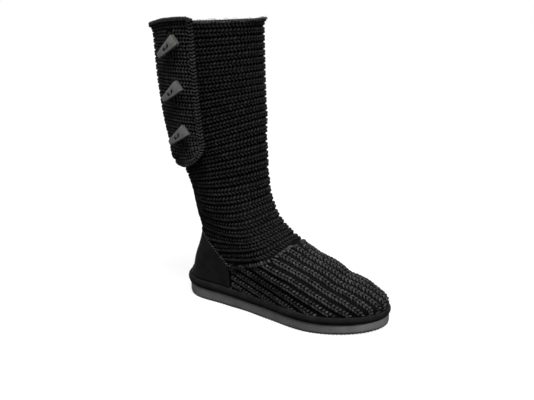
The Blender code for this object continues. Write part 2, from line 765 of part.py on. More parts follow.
def button_frame(height):
    """Return a button's place on the flap, its axes as a matrix and its distance to the shaft."""
    turn = math.radians(BUTTON_TURN)
    place = flap_place(np.array(height), np.array(turn), np.array(FLAP_THICKNESS))
    small = 0.02
    rear = flap_place(np.array(height), np.array(turn - small), np.array(FLAP_THICKNESS))
    front = flap_place(np.array(height), np.array(turn + small), np.array(FLAP_THICKNESS))
    above = flap_place(np.array(height + 0.002), np.array(turn), np.array(FLAP_THICKNESS))
    along = Vector(front - rear).normalized()
    out = along.cross(Vector(above - place)).normalized()
    up = out.cross(along)
    tilt = math.radians(TOGGLE_TILT)
    axis = along * math.cos(tilt) + up * math.sin(tilt)
    across = out.cross(axis)
    frame = Matrix((axis, across, out)).transposed().to_4x4()
    frame.translation = Vector(place)
    shaft_place = form_ring(np.array(height), np.array(turn), np.array(0.0))
    return frame, -float(np.dot(place - shaft_place, np.array(out)))


def toggle_outline(inset):
    """Return the outline of a tapered toggle, narrow at its rear end."""
    side = []
    for share in np.linspace(0.0, 1.0, 7):
        narrow = TOGGLE_NARROW_END / 2
        wide = TOGGLE_WIDE_END / 2
        half = narrow + (wide - narrow) * share**0.75 - inset
        along = -TOGGLE_LENGTH / 2 + inset + (TOGGLE_LENGTH - 2 * inset) * share
        side.append((along, half, share))
    lower = [(along - TOGGLE_SLANT * share, half) for along, half, share in side]
    upper_side = [(along + TOGGLE_SLANT * share, -half) for along, half, share in side]
    return lower + upper_side[::-1]


def toggle(name, frame, material, parent):
    """Flat tapered toggle with two holes."""
    lift = 2 * CLEARANCE + THREAD_THICKNESS
    levels = (
        # height, inset
        (0.0, TOGGLE_CHAMFER),
        (TOGGLE_CHAMFER, 0.0),
        (TOGGLE_THICKNESS - TOGGLE_CHAMFER, 0.0),
        (TOGGLE_THICKNESS, TOGGLE_CHAMFER),
    )
    mesh_data = bmesh.new()
    rings = [[(x, y, level + lift) for x, y in toggle_outline(inset)] for level, inset in levels]
    loops = add_rings(mesh_data, rings)
    for below_loop, above_loop in zip(loops, loops[1:]):
        add_band(mesh_data, below_loop, above_loop)
    mesh_data.faces.new(loops[0])
    mesh_data.faces.new(loops[-1])
    piece = make_object(name, mesh_data, material, parent)
    piece.matrix_world = frame
    for number, sign in enumerate((-1, 1)):
        drill = bmesh.new()
        bmesh.ops.create_cone(
            drill,
            cap_ends=True,
            segments=10,
            radius1=HOLE_DIAMETER / 2,
            radius2=HOLE_DIAMETER / 2,
            depth=3 * TOGGLE_THICKNESS,
        )
        cutter = make_object(f"{name}_drill_{number}", drill, material, parent)
        shift = Vector((sign * HOLE_SPACING / 2, 0.0, lift + TOGGLE_THICKNESS / 2))
        cutter.matrix_world = frame @ Matrix.Translation(shift)
        cutter.hide_render = True
        cutter.display_type = "WIRE"
        cut = piece.modifiers.new("hole", "BOOLEAN")
        cut.operation = "DIFFERENCE"
        cut.solver = "EXACT"
        cut.object = cutter
    return piece


def toggle_thread(name, frame, shaft_depth, material, parent):
    """Thread that runs through both holes and the flap's slot to the shaft."""
    half = THREAD_THICKNESS / 2
    leg = HOLE_SPACING / 2
    along = (-leg - half, -leg + half, -half, half, leg - half, leg + half)
    toggle_top = 3 * CLEARANCE + THREAD_THICKNESS + TOGGLE_THICKNESS
    out = (
        shaft_depth + CLEARANCE,
        CLEARANCE,
        CLEARANCE + THREAD_THICKNESS,
        toggle_top,
        toggle_top + THREAD_THICKNESS,
    )
    present = np.array([
        [False, False, True, False, False],
        [True, True, True, True, True],
        [True, False, False, False, True],
        [True, True, True, True, True],
    ])
    near = [[(x, half, z) for x in along] for z in out]
    far = [[(x, -half, z) for x in along] for z in out]
    piece = make_object(name, make_panel(near, far, present), material, parent)
    piece.matrix_world = frame
    return piece


def build():
    """Build the boot."""
    for old in list(bpy.data.objects):
        bpy.data.objects.remove(old, do_unlink=True)
    boot = bpy.data.objects.new("boot", None)
    bpy.context.scene.collection.objects.link(boot)
    knit = make_material("knit", (0.012, 0.012, 0.013), 0.95)
    suede = make_material("suede", (0.016, 0.015, 0.015), 0.90)
    foam = make_material("sole_foam", (0.075, 0.075, 0.078), 0.75)
    fleece = make_material("fleece", (0.020, 0.019, 0.019), 1.0)
    horn = make_material("toggle_horn", (0.085, 0.080, 0.076), 0.55)
    yarn = make_material("thread", (0.030, 0.028, 0.027), 0.85)
    outsole(foam, boot)
    rim_band(suede, boot)
    upper(knit, boot)
    shaft(knit, boot)
    heel_counter(suede, boot)
    insole(fleece, boot)
    button_flap(knit, boot)
    for number, height in enumerate(button_heights(), start=1):
        frame, shaft_depth = button_frame(height)
        toggle(f"toggle_{number}", frame, horn, boot)
        toggle_thread(f"toggle_thread_{number}", frame, shaft_depth, yarn, boot)


build()
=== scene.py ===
"""Looks of the knitted boot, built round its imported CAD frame.

Metres. X runs from heel to toe, Y towards the inner side of the foot, Z up.
A place on the form has a height and a turn: 0 at the back, a quarter on the outer
side, a half at the front. Knitting is made of leaves, short tapered tubes that are
laid in pairs along each rib and joined into one mesh per region.
"""

import json
import math

import bmesh
import bpy
import numpy as np
from mathutils import Matrix, Vector

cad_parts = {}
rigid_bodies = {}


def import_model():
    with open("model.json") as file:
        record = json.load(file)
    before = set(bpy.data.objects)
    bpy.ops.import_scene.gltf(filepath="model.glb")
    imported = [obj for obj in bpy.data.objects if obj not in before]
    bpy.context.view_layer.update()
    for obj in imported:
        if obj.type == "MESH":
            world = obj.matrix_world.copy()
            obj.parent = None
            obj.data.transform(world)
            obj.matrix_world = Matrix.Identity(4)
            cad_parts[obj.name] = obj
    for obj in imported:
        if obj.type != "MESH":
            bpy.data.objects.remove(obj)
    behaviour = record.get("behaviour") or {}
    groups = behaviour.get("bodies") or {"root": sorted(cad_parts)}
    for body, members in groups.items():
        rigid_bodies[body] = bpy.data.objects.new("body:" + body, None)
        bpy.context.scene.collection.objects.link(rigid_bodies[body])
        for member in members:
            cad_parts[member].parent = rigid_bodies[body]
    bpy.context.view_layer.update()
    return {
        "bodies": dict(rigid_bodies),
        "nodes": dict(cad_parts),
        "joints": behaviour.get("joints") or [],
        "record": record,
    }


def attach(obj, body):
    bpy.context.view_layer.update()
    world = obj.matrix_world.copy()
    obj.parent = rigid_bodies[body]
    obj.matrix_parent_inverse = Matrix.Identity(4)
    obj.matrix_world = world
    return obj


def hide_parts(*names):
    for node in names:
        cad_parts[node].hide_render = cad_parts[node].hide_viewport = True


# Sizes of the form, as in the part's source
BOOT_LENGTH = 0.268
BALL_WIDTH = 0.0896
ANKLE_HEIGHT = 0.120
COLLAR_HEIGHT = 0.335
SHAFT_DEPTH = 0.131
SHAFT_WIDTH = 0.107
TOE_SPRING = 0.0025
SOLE_AT_HEEL = 0.0149
SOLE_AT_TOE = 0.0112
SOLE_EDGE = 0.0022
RIM_AT_HEEL = 0.0105
RIM_AT_TOE = 0.0082
RIM_BULGE = 0.0046
FOOT_WALL = 0.0030
SHAFT_WALL = 0.0034
RIB_PITCH = 0.0080
COLLAR_FLARE = 0.0022
COUNTER_THICKNESS = 0.0015
COUNTER_PROUD = 0.0004
INSOLE_THICKNESS = 0.0040
FLAP_THICKNESS = 0.0034
FLAP_LENGTH = 0.169
FLAP_OVERHANG = 0.002
FLAP_REAR = 20.0
FLAP_FRONT = 105.5
FLAP_STAND = 0.0080
FLAP_CORNER = 0.037
FLAP_FLARE = 0.0018
FLAP_EDGE_WIDTH = 0.0050
BUTTON_TURN = 77.0
BUTTON_DROP = 0.0315
BUTTON_PITCH = 0.0495
BUTTON_COUNT = 3
SLOT_LENGTH = 0.028
SLOT_WIDTH = 0.0030
TOGGLE_LENGTH = 0.037
TOGGLE_WIDE_END = 0.0135
TOGGLE_NARROW_END = 0.0050
TOGGLE_THICKNESS = 0.0040
TOGGLE_SLANT = 0.0020
TOGGLE_TILT = 31.0
HOLE_SPACING = 0.0075
HOLE_DIAMETER = 0.0030
THREAD_THICKNESS = 0.0016
TOGGLE_LINE_INSET = 0.0013
TOGGLE_LINE_WIDTH = 0.0008
CLEARANCE = 0.0003
STEP_RUN = 0.0005

# Foot sections: heights as shares of ANKLE_HEIGHT, back and front as shares of
# BOOT_LENGTH, and half widths at five turns as shares of BALL_WIDTH
FOOT_SECTIONS = (
    # height, back, front, at 30, at 60, at 90, at 120, at 150
    (0.117, 0.019, 0.981, 0.329, 0.373, 0.394, 0.500, 0.335),
    (0.250, 0.022, 0.978, 0.329, 0.373, 0.394, 0.500, 0.335),
    (0.283, 0.032, 0.956, 0.329, 0.373, 0.394, 0.500, 0.335),
    (0.333, 0.040, 0.919, 0.329, 0.373, 0.394, 0.497, 0.335),
    (0.417, 0.053, 0.831, 0.329, 0.373, 0.404, 0.480, 0.328),
    (0.483, 0.064, 0.784, 0.319, 0.373, 0.404, 0.465, 0.310),
    (0.550, 0.078, 0.716, 0.308, 0.373, 0.404, 0.440, 0.285),
    (0.633, 0.091, 0.640, 0.287, 0.373, 0.404, 0.415, 0.262),
    (0.750, 0.101, 0.556, 0.266, 0.366, 0.404, 0.390, 0.240),
    (0.875, 0.080, 0.491, 0.250, 0.373, 0.415, 0.375, 0.222),
)

# Leg sections: heights as shares of the leg above the ankle, back and front as shares
# of SHAFT_DEPTH from the leg's axis, and half widths as shares of SHAFT_WIDTH
LEG_SECTIONS = (
    # height, back, front, at 30, at 60, at 90, at 120, at 150
    (0.000, 0.173, 0.606, 0.198, 0.340, 0.372, 0.325, 0.188),
    (0.093, 0.210, 0.553, 0.196, 0.338, 0.392, 0.338, 0.196),
    (0.233, 0.320, 0.534, 0.205, 0.356, 0.409, 0.356, 0.205),
    (0.419, 0.429, 0.527, 0.214, 0.374, 0.427, 0.374, 0.214),
    (0.651, 0.485, 0.512, 0.232, 0.401, 0.464, 0.401, 0.232),
    (1.000, 0.508, 0.494, 0.250, 0.433, 0.500, 0.433, 0.250),
)
LEG_AXIS = 0.150 * BOOT_LENGTH
WIDTH_TURNS = (30, 60, 90, 120, 150)
KEY_TURNS = np.radians(np.arange(-30, 211, 30))

# Sideways bend of the foot: place as a share of BOOT_LENGTH, shift as a share of BALL_WIDTH
FOOT_BEND = (
    # place, shift
    (0.000, 0.000),
    (0.085, 0.000),
    (0.260, -0.022),
    (0.500, -0.056),
    (0.740, 0.000),
    (0.915, 0.089),
    (1.000, 0.134),
)
BEND_FADE_FROM = 0.75 * ANKLE_HEIGHT
BEND_FADE_TO = 1.17 * ANKLE_HEIGHT

# Seam between foot and shaft: place as a share of BOOT_LENGTH, height of ANKLE_HEIGHT
SEAM = (
    # place, height
    (0.3075, 0.412),
    (0.410, 0.503),
    (0.500, 0.583),
    (0.554, 0.648),
    (0.578, 0.705),
    (0.600, 0.760),
)
COUNTER_CORNER = SEAM[0][0] * BOOT_LENGTH
COUNTER_TOP = 0.717 * ANKLE_HEIGHT
COUNTER_SLOPE = 0.81

# Valleys between the shaft's ribs, counted from the collar: height at the front as a
# share of COLLAR_HEIGHT, lean to the back and droop at the sides as shares of SHAFT_DEPTH
RIB_LINES = (
    # number, height, lean, droop
    (0, 1.000, 0.000, 0.000),
    (3, 0.925, 0.038, 0.008),
    (8, 0.809, 0.061, 0.008),
    (11, 0.743, 0.099, 0.015),
    (14, 0.672, 0.122, 0.023),
    (19, 0.525, 0.092, 0.004),
    (22, 0.430, 0.031, 0.038),
    (23, 0.403, 0.023, 0.053),
    (27, 0.307, 0.046, 0.061),
    (29, 0.275, 0.130, 0.023),
    (30, 0.257, 0.145, 0.038),
    (33, 0.203, 0.168, 0.046),
)
RIB_COUNT = RIB_LINES[-1][0]
SHAFT_GROUPS = ((1, 10), (10, 21), (21, RIB_COUNT))

# Valleys between the foot's ribs: girth from the ridge of the instep, as a share of BALL_WIDTH
FOOT_RIB_LINES = (
    # number, girth
    (-11, -1.290),
    (-10, -1.195),
    (-9, -1.098),
    (-8, -1.000),
    (-7, -0.900),
    (-6, -0.780),
    (-5, -0.650),
    (-4, -0.523),
    (-3, -0.397),
    (-2, -0.274),
    (-1, -0.151),
    (0, -0.028),
    (1, 0.095),
    (2, 0.218),
    (3, 0.340),
    (4, 0.463),
    (5, 0.586),
    (6, 0.715),
    (7, 0.860),
    (8, 0.962),
    (9, 1.060),
    (10, 1.155),
    (11, 1.250),
)

# Soft forms of the flap: how its top edge rises and falls, and how far it swells
FLAP_TOP = (
    # turn in degrees, rise
    (20.0, -0.0080),
    (34.0, -0.0064),
    (52.0, -0.0036),
    (68.0, -0.0008),
    (80.0, 0.0002),
    (93.0, 0.0010),
    (100.0, 0.0006),
    (106.0, -0.0016),
)
FLAP_SWELL = (
    # turn in degrees, distance out, further distance out at the lower edge
    (20.0, 0.0003, 0.0),
    (27.0, 0.0014, 0.0018),
    (36.0, 0.0023, 0.0038),
    (50.0, 0.0012, 0.0032),
    (62.0, 0.0, 0.0010),
    (72.0, 0.0, 0.0),
)
FLAP_FOOT_REACH = 0.034
FLAP_FOOT_ROUND = 0.013
FLAP_TOP_REACH = 0.040
FLAP_CURL = 0.0014
FLAP_CURL_REACH = 0.015
FLAP_CURL_FADE = 34.0
FLAP_FOOT_LEAST = 0.3
FLAP_CORNER_FROM = 0.47
FLAP_CORNER_BEYOND = math.radians(1.0)

# How the collar's edge rises, falls and spreads round the leg
COLLAR_EDGE = (
    # turn in degrees, rise, distance out
    (0.0, -0.0022, 0.0),
    (60.0, -0.0022, 0.0),
    (112.0, -0.0024, 0.0),
    (150.0, -0.0012, 0.0004),
    (205.0, 0.0010, 0.0026),
    (250.0, -0.0012, 0.0012),
    (310.0, -0.0030, 0.0),
    (360.0, -0.0022, 0.0),
)

# Main creases round the ankle and up the leg: height and half height as shares of
# ANKLE_HEIGHT, lean as such a share for each quarter turn, and a ridge's or trough's depth
LEG_CREASES = (
    # height, turn in degrees, lean, half height, half turn in degrees, depth
    (1.110, 178.0, 0.10, 0.060, 62.0, -0.0009),
    (1.215, 176.0, 0.12, 0.070, 62.0, 0.0012),
    (0.985, 180.0, 0.06, 0.085, 60.0, 0.0017),
    (1.330, 150.0, 0.30, 0.075, 45.0, -0.0011),
    (1.300, 224.0, -0.20, 0.075, 40.0, -0.0011),
    (1.640, 196.0, 0.25, 0.120, 50.0, -0.0009),
    (1.900, 205.0, 0.20, 0.120, 45.0, 0.0008),
)

# Main creases across the foot: place and half length as shares of BOOT_LENGTH, lean back
# down each side as a share of the drop from the ridge
FOOT_CREASES = (
    # place, lean, half length, depth
    (0.797, 0.45, 0.045, -0.0011),
    (0.868, 0.35, 0.045, 0.0007),
    (0.655, 0.60, 0.035, -0.0006),
    (0.715, 0.50, 0.035, 0.0005),
)
CREASE_FADE_FROM = 0.24 * ANKLE_HEIGHT
CREASE_FADE_TO = 0.40 * ANKLE_HEIGHT

# Where the foot's ribs are measured from: ahead of RIDGE_FROM from the ridge, behind it
# from a line on the side of the foot that climbs towards the heel
RIDGE_FROM = 0.634 * BOOT_LENGTH
SIDE_LINE_HEIGHT = 0.229 * ANKLE_HEIGHT
SIDE_LINE_CLIMB = 0.285
SIDE_LINE_GIRTH = 0.862 * BALL_WIDTH
FAN_FROM = 0.885 * BOOT_LENGTH
FAN_HEIGHT = 0.100 * ANKLE_HEIGHT

# Places along the sole
HEEL_REST = 0.130 * BOOT_LENGTH
SPRING_FROM = 0.615 * BOOT_LENGTH

# Stitches, and how far their places, sizes and tones change at random
STITCH_PITCH = 0.00437
LEAF_REACH = 0.0036
LEAF_WIDTH = 0.0025
LEAF_THICKNESS = 0.0019
LEAF_SIDES = 6
LEAF_SECTIONS = 6
LEAF_TIP = 0.10
LEAF_FULLNESS = 0.7
LEAF_BACK = 0.0003
LEAF_MIDDLE = 0.42
ROW_FILL = 0.95
SHAFT_ROLL = 0.0007
FOOT_ROLL = 0.0011
FLAP_ROLL = 0.0003
FLAP_REACH = 0.0026
FLAP_LEAF_WIDTH = 0.0024
FOOT_LEAF_WIDTH = 0.0030
# Painted light and shade on each leaf: lighter on its outer side, darker on its inner side and towards
# its ends
CROWN_PAINTED_LIGHT = 0.45
END_PAINTED_SHADE = 0.9
SIZE_SPREAD = 0.06
TONE_SPREAD = 0.22
RUN_SPREAD = 0.00012
ACROSS_SPREAD = 0.00008
DEPTH_SPREAD = 0.00007
BAR_SPREAD = 0.00015
BAR_DEPTH_SPREAD = 0.0001
BASE_DEPTH = 0.0013
VALLEY_DEPTH = 0.0016
SMALLEST_STEP = 0.00001

# Leaves by their three places: the run, the place across and the depth, or shares of a width
RIB_ACROSS = np.array([0.10, 0.45, 0.88])
RIB_DEPTH = np.array([-0.00085, 0.00045, -0.00180])
RIB_ROLL = np.array([0.3, 1.0, -0.2])
BAR_ACROSS = np.array([-1.0, 0.0, 1.0])
BAR_DEPTH = np.array([-0.0018, -0.0013, -0.0018])
INSTEP_RUN = np.array([0.0040, 0.0018, -0.0004])
INSTEP_DROP = np.array([0.0056, 0.0026, 0.0001])
INSTEP_DEPTH = np.array([-0.0004, 0.0016, -0.0014])
COUNTER_RUN = np.array([-0.0014, 0.0, 0.0014])
COUNTER_ACROSS = np.array([0.0014, 0.0, -0.0014])
COUNTER_DEPTH = np.array([-0.0012, 0.0010, -0.0012])
SLOT_RUN = np.array([-0.0003, 0.0, 0.0003])
SLOT_ACROSS = np.array([-0.0004, 0.0008, 0.0023])
SLOT_DEPTH = np.array([-0.0012, 0.0008, -0.0009])
BRAID_DEPTH = np.array([-0.0004, 0.0009, -0.0004])
WRAP_RUN = np.array([-0.0007, 0.0, 0.0007])
WRAP_ACROSS = np.array([0.0016, -0.0013, 0.0016])
THREAD_DEPTH = np.array([-0.4, 0.35, -0.4])

# Where the stitches of each region start and stop, and how deep they sit
RIBS_UNDER_FLAP = 0.30
COLLAR_UNDER_FLAP = 0.12
SEAM_ROOM = 0.08 * RIB_PITCH
SEAM_STEPS = 16
SEAM_AIR = 1.5 * CLEARANCE
SEAM_HOLD = 0.1 * RIB_PITCH
LEAST_ROOM = 0.0012
MOST_ROOM = 0.0075
SHAFT_SINK = 0.0002
FOOT_SINK = 0.0001
FLAP_SINK = 0.0003
FOOT_RIB_SHARE = 0.70
FOOT_RIB_MOST = 0.0043
FOOT_BAR_SHARE = 0.38
FOOT_BELOW_SEAM = 0.0010
FOOT_BEHIND_RIM = 0.0025
FOOT_FROM_COUNTER = 0.0004
BAR_WIDTH = 0.0014
BAR_THICKNESS = 0.0012
# Purl bars in the foot's valleys are toned dark: painted shade in the valleys
BAR_SHADE_TONE = -1.6
FOOT_TONE = 0.26
FLAP_TONE = 0.3
SEAM_TONE = 0.3
FLAP_TOP_EDGE = 0.8
FLAP_FOOT_SHARE = 0.22
SLOT_RIM = 0.0022
SLOT_END_RIM = 0.002
INSTEP_BROAD_FROM = 0.37 * BOOT_LENGTH
INSTEP_BROAD_OVER = 0.10 * BOOT_LENGTH
INSTEP_LOWEST = 0.30 * ANKLE_HEIGHT
INSTEP_LINE_DROP = 0.0012
INSTEP_PITCH = 0.0046
INSTEP_WIDTH = 0.0026
INSTEP_BROADER = 0.0010
INSTEP_FROM = 0.001
INSTEP_SHORT = 0.0002
COUNTER_EDGE_FROM = 0.008
COUNTER_EDGE_PAST = 0.004
COUNTER_EDGE_LIFT = 0.0014
COUNTER_LEAF_WIDTH = 0.0024
COUNTER_LEAF_THICKNESS = 0.0020
INSTEP_TONE = -0.5
INSTEP_FRONT_TONE = 0.2
COUNTER_TONE = 0.45

# Map of the foot, from behind the counter's corner to the fan of planes round the toe
MAP_BEHIND = 0.004
MAP_STEP = 0.002
MAP_GIRTH = 1.30
MAP_GIRTH_STEP = 0.01
MAP_LOWEST = 0.125 * ANKLE_HEIGHT
MAP_BOTTOM = 0.14 * ANKLE_HEIGHT
MAP_ARCH = 160
MAP_FINENESS = 6
MAP_MARGIN = 0.001
MAP_LEAST = 8
FAN_LAST = 3.0
FAN_COUNT = 25

# Braided, looped and raised edges of flap, buttonholes, collar and counter
BRAID_SLANT = 0.0030
BRAID_START = -0.0002
BRAID_SHARE = 0.55
BRAID_FILL = 0.68
BRAID_SPREAD = 0.0001
BRAID_THICKNESS = 0.0021
FLAP_BRAID = 1.35 * FLAP_EDGE_WIDTH
FLAP_BRAID_PITCH = 0.0037
TOP_BRAID = 0.0042
TOP_BRAID_PITCH = 0.0035
WRAP_FILL = 0.75
WRAP_THICKNESS = 0.0020
WRAP_OUT = 0.0003
WRAP_IN = 0.0002
EDGE_SINK = 0.0006
EDGE_PITCH = 0.0034
SLOT_PITCH = 0.0019
SLOT_WIDER = 0.0004
SLOT_LONGER = 0.0008
SLOT_LEAF_THICKNESS = 0.0017
COLLAR_PITCH = 0.0036
COLLAR_FLARE_SHARE = 0.30
COLLAR_INSET = 0.0004
HAIR_COUNT = 30
HAIR_THICKNESS = 0.0004
HAIR_REACH = (0.003, 0.011)
HAIR_RISE = (0.0006, 0.0030)
HAIR_SWAY = 0.0008

# Counter, rim and insole, with the fine threads along their seams
COUNTER_RINGS = 40
COUNTER_COLUMNS = 44
COUNTER_ROLL = 0.0009
COUNTER_ROLL_REACH = 0.0016
RIM_COVER = 0.002
SHAFT_INNER_TOP = 0.96
THREAD_PITCH = 0.0024
THREAD_STITCH = 0.0020
RIM_THREAD_WIDTH = 0.0006
RIM_THREAD_LEVEL = 0.95
RIM_THREAD_OUT = 0.46
COUNTER_THREAD_WIDTH = 0.0005
COUNTER_THREAD_BACK = 0.0016
COUNTER_THREAD_DROP = 0.0022
COUNTER_THREAD_LIFT = 0.001
COUNTER_THREAD_END = 0.012
INSOLE_EDGE = 0.7
INSOLE_INSET = 0.0008
INSOLE_SWELL = 0.0003

# Toggles: their colours with painted shade, holes and rounding
# Painted shade darkens the toggles' wide end faces
END_FACE_SHADE = (0.060, 0.058, 0.055, 1.0)
END_FACE_SHADE_FROM = 0.0007
END_FACE_SHADE_FULL = 0.0003
TAN = (0.36, 0.29, 0.22, 1.0)
# Painted shade in and round the toggles' drilled holes
HOLE_SHADE_GREY = 0.008
HOLE_SHADE_FROM = 0.72 * HOLE_DIAMETER
HOLE_SHADE_FULL = 0.66 * HOLE_DIAMETER
DRILL_RADIUS = 0.65 * HOLE_DIAMETER
DRILL_SIDES = 32
OUTLINE_COUNT = 22
TOGGLE_TAPER = 0.75
TOGGLE_ROUNDING = 0.0012
ROUNDING_ANGLE = math.radians(50)
SHARP_ANGLE = math.radians(40)

# Strands of the toggles' threads: a bend as distances in from the leg and down from the bar
STRAND_BEND = ((0.0, 0.0012), (0.0006, 0.0003), (0.0014, 0.0))
STRAND_RETURN = 0.0010
STRAND_SAG = 0.0004
STRAND_SHARE = 0.30
STRAND_SECTIONS = 60
STRAND_SIDES = 8
LEG_INSET = 0.0013
# Thread inside the holes and under the toggle is toned dark: painted shade
HOLE_THREAD_SHADE = -1.4
BAR_THREAD_TONE = 0.9

# How many columns, rings and places the walls, edges and lines are made of
SHAFT_COLUMNS = (50, 40)
FOOT_COLUMNS = (24, 56)
RIM_COLUMNS = (40, 60)
RIM_THREAD_COLUMNS = (60, 100)
INSOLE_COLUMNS = (24, 48)
FLAP_REAR_COLUMNS = 26
FLAP_FRONT_COLUMNS = 20
SHAFT_INNER_RINGS = 24
FOOT_OUTER_RINGS = 30
FOOT_INNER_RINGS = 16
INSOLE_RINGS = 10
RIDGE_PLACES = 400
INSTEP_PLACES = 300
SLOPE_PLACES = 160
RIB_PLACES = 200
FLAP_FRONT_PLACES = 90
FLAP_FOOT_PLACES = 120
FLAP_TOP_PLACES = 160
SLOT_PLACES = 120
THREAD_SLOPE_PLACES = 120
THREAD_FRONT_PLACES = 40

# Small steps and counts for finding places on the form, and turns all the way round
TURN_STEP = 0.01
HEIGHT_STEP = 0.0005
SOLVE_STEPS = 40
LOWEST_LEVEL = 0.05 * ANKLE_HEIGHT
QUARTER_TURN = 90.0
ROUND = np.linspace(0.0, 2 * math.pi, 721)

# Camera, fitted to the photograph
CAMERA_AZIMUTH = 33.7
CAMERA_ELEVATION = 16.14
CAMERA_DISTANCE = 0.800
CAMERA_ROLL = -0.75
CAMERA_TARGET = (0.07963, 0.0, 0.12908)
CAMERA_FOCAL_PIXELS = 681.16
FRAME_WIDTH = 534
SENSOR_WIDTH = 36.0

# Light: direction towards each lamp, spread in degrees and strength
SUNS = (
    ("overhead", (0.38, -0.20, 0.90), 34.0, 4.2),
    ("front", (0.10, -0.90, 0.45), 50.0, 0.14),
    ("rear", (-0.45, 0.80, 0.40), 60.0, 1.50),
    ("left", (-0.88, -0.22, 0.42), 50.0, 0.70),
)
AMBIENT = 0.09
FLOOR_GLOW = 0.86
FLOOR_DIFFUSE = 0.16
STAGE_RADIUS = 8.0
STAGE_SIDES = 48


def smooth_step(value):
    """Ease from 0 to 1."""
    value = np.clip(value, 0.0, 1.0)
    return value * value * (3.0 - 2.0 * value)


def unit(vectors):
    """Return vectors scaled to a length of one."""
    return vectors / np.linalg.norm(vectors, axis=-1, keepdims=True)


def running_length(places):
    """Return how far along a line each of its places lies."""
    return np.concatenate([[0.0], np.cumsum(np.linalg.norm(np.diff(places, axis=0), axis=-1))])


def even_steps(length, pitch):
    """Return the middles of even steps along a length."""
    count = int(length / pitch)
    return (np.arange(count) + 0.5) * length / count


def through(at, places, values):
    """Read a smooth curve that passes through each row of a table."""
    places = np.asarray(places, float)
    values = np.asarray(values, float)
    flat = values.ndim == 1
    if flat:
        values = values[:, None]
    steps = np.diff(places)
    slopes = np.diff(values, axis=0) / steps[:, None]
    tangents = np.zeros_like(values)
    weighted = slopes[:-1] * steps[1:, None] + slopes[1:] * steps[:-1, None]
    tangents[1:-1] = weighted / (steps[:-1] + steps[1:])[:, None]
    tangents[0] = slopes[0]
    tangents[-1] = slopes[-1]
    at = np.clip(np.asarray(at, float), places[0], places[-1])
    row = np.clip(np.searchsorted(places, at, side="right") - 1, 0, len(places) - 2)
    part = ((at - places[row]) / steps[row])[..., None]
    step = steps[row][..., None]
    square = part * part
    cube = square * part
    result = (2 * cube - 3 * square + 1) * values[row] + (3 * square - 2 * cube) * values[row + 1]
    result = result + (cube - 2 * square + part) * step * tangents[row]
    result = result + (cube - square) * step * tangents[row + 1]
    return result[..., 0] if flat else result


def section_rows():
    """Join both section tables into rows of height, back, front and five half widths."""
    rows = []
    for height, back, front, *widths in FOOT_SECTIONS:
        row = [height * ANKLE_HEIGHT, back * BOOT_LENGTH, front * BOOT_LENGTH]
        rows.append(row + [width * BALL_WIDTH for width in widths])
    for height, back, front, *widths in LEG_SECTIONS:
        level = ANKLE_HEIGHT + height * (COLLAR_HEIGHT - ANKLE_HEIGHT)
        row = [level, LEG_AXIS - back * SHAFT_DEPTH, LEG_AXIS + front * SHAFT_DEPTH]
        rows.append(row + [width * SHAFT_WIDTH for width in widths])
    return np.array(rows)


SECTIONS = section_rows()
BEND = np.array(FOOT_BEND) * (BOOT_LENGTH, BALL_WIDTH)
SEAM_LINE = np.array(SEAM) * (BOOT_LENGTH, ANKLE_HEIGHT)
RIB_ROWS = np.array(RIB_LINES) * (1.0, COLLAR_HEIGHT, SHAFT_DEPTH, SHAFT_DEPTH)
FOOT_RIB_ROWS = np.array(FOOT_RIB_LINES) * (1.0, BALL_WIDTH)
FLAP_RISES = np.array(FLAP_TOP)
FLAP_SWELLS = np.array(FLAP_SWELL)
COLLAR_RISES = np.array(COLLAR_EDGE)
FLAP_HEAD = COLLAR_HEIGHT + FLAP_OVERHANG
REAR = math.radians(FLAP_REAR)
FRONT = math.radians(FLAP_FRONT)
BUTTON = math.radians(BUTTON_TURN)


def loop_place(height, turn):
    """Return x from the heel's back, y, and the loop's own centre and half depth."""
    row = through(height, SECTIONS[:, 0], SECTIONS[:, 1:])
    half_depth = (row[..., 1] - row[..., 0]) / 2
    centre = (row[..., 1] + row[..., 0]) / 2
    turn = np.mod(turn, 2 * math.pi)
    folded = np.where(turn > math.pi, 2 * math.pi - turn, turn)
    factors = row[..., 2:] / np.sin(np.radians(WIDTH_TURNS))
    first = factors[..., :1]
    last = factors[..., -1:]
    factors = np.concatenate([first, first, factors, last, last], axis=-1)
    cell = np.searchsorted(KEY_TURNS, folded, side="right") - 1
    cell = np.clip(cell, 1, len(KEY_TURNS) - 3)
    part = (folded - KEY_TURNS[cell]) / (KEY_TURNS[1] - KEY_TURNS[0])

    def factor(step):
        return np.take_along_axis(factors, (cell + step)[..., None], axis=-1)[..., 0]

    before, here, after, beyond = factor(-1), factor(0), factor(1), factor(2)
    width = here + 0.5 * part * (after - before)
    width = width + 0.5 * part**2 * (2 * before - 5 * here + 4 * after - beyond)
    width = width + 0.5 * part**3 * (3 * here - before - 3 * after + beyond)
    x = centre - half_depth * np.cos(folded)
    side = np.where(turn > math.pi, 1.0, -1.0)
    fade = smooth_step((BEND_FADE_TO - height) / (BEND_FADE_TO - BEND_FADE_FROM))
    y = through(x, BEND[:, 0], BEND[:, 1]) * fade + side * width * np.sin(folded)
    return x, y, centre, half_depth


def form_place(height, turn):
    """Return a place on the form, still without toe spring, measured from the heel's back."""
    height, turn = np.broadcast_arrays(np.asarray(height, float), np.asarray(turn, float))
    x, y, _, _ = loop_place(height, turn)
    return np.stack([x, y, height], axis=-1)


def settle(places):
    """Add the toe spring, and measure from the origin under the heel."""
    settled = np.array(places, float)
    share = np.clip((settled[..., 0] - SPRING_FROM) / (BOOT_LENGTH - SPRING_FROM), 0.0, None)
    settled[..., 2] += TOE_SPRING * share * share
    settled[..., 0] -= HEEL_REST
    return settled


def form_normal(height, turn):
    """Return the form's outward normal."""
    around = form_place(height, turn + TURN_STEP) - form_place(height, turn - TURN_STEP)
    up = form_place(height + HEIGHT_STEP, turn) - form_place(height - HEIGHT_STEP, turn)
    return unit(np.cross(around, up))


def ridge_height(x):
    """Return the height of the instep's ridge at a place along the foot."""
    foot = SECTIONS[: len(FOOT_SECTIONS)]
    return float(np.interp(-x, -foot[:, 2], foot[:, 0]))


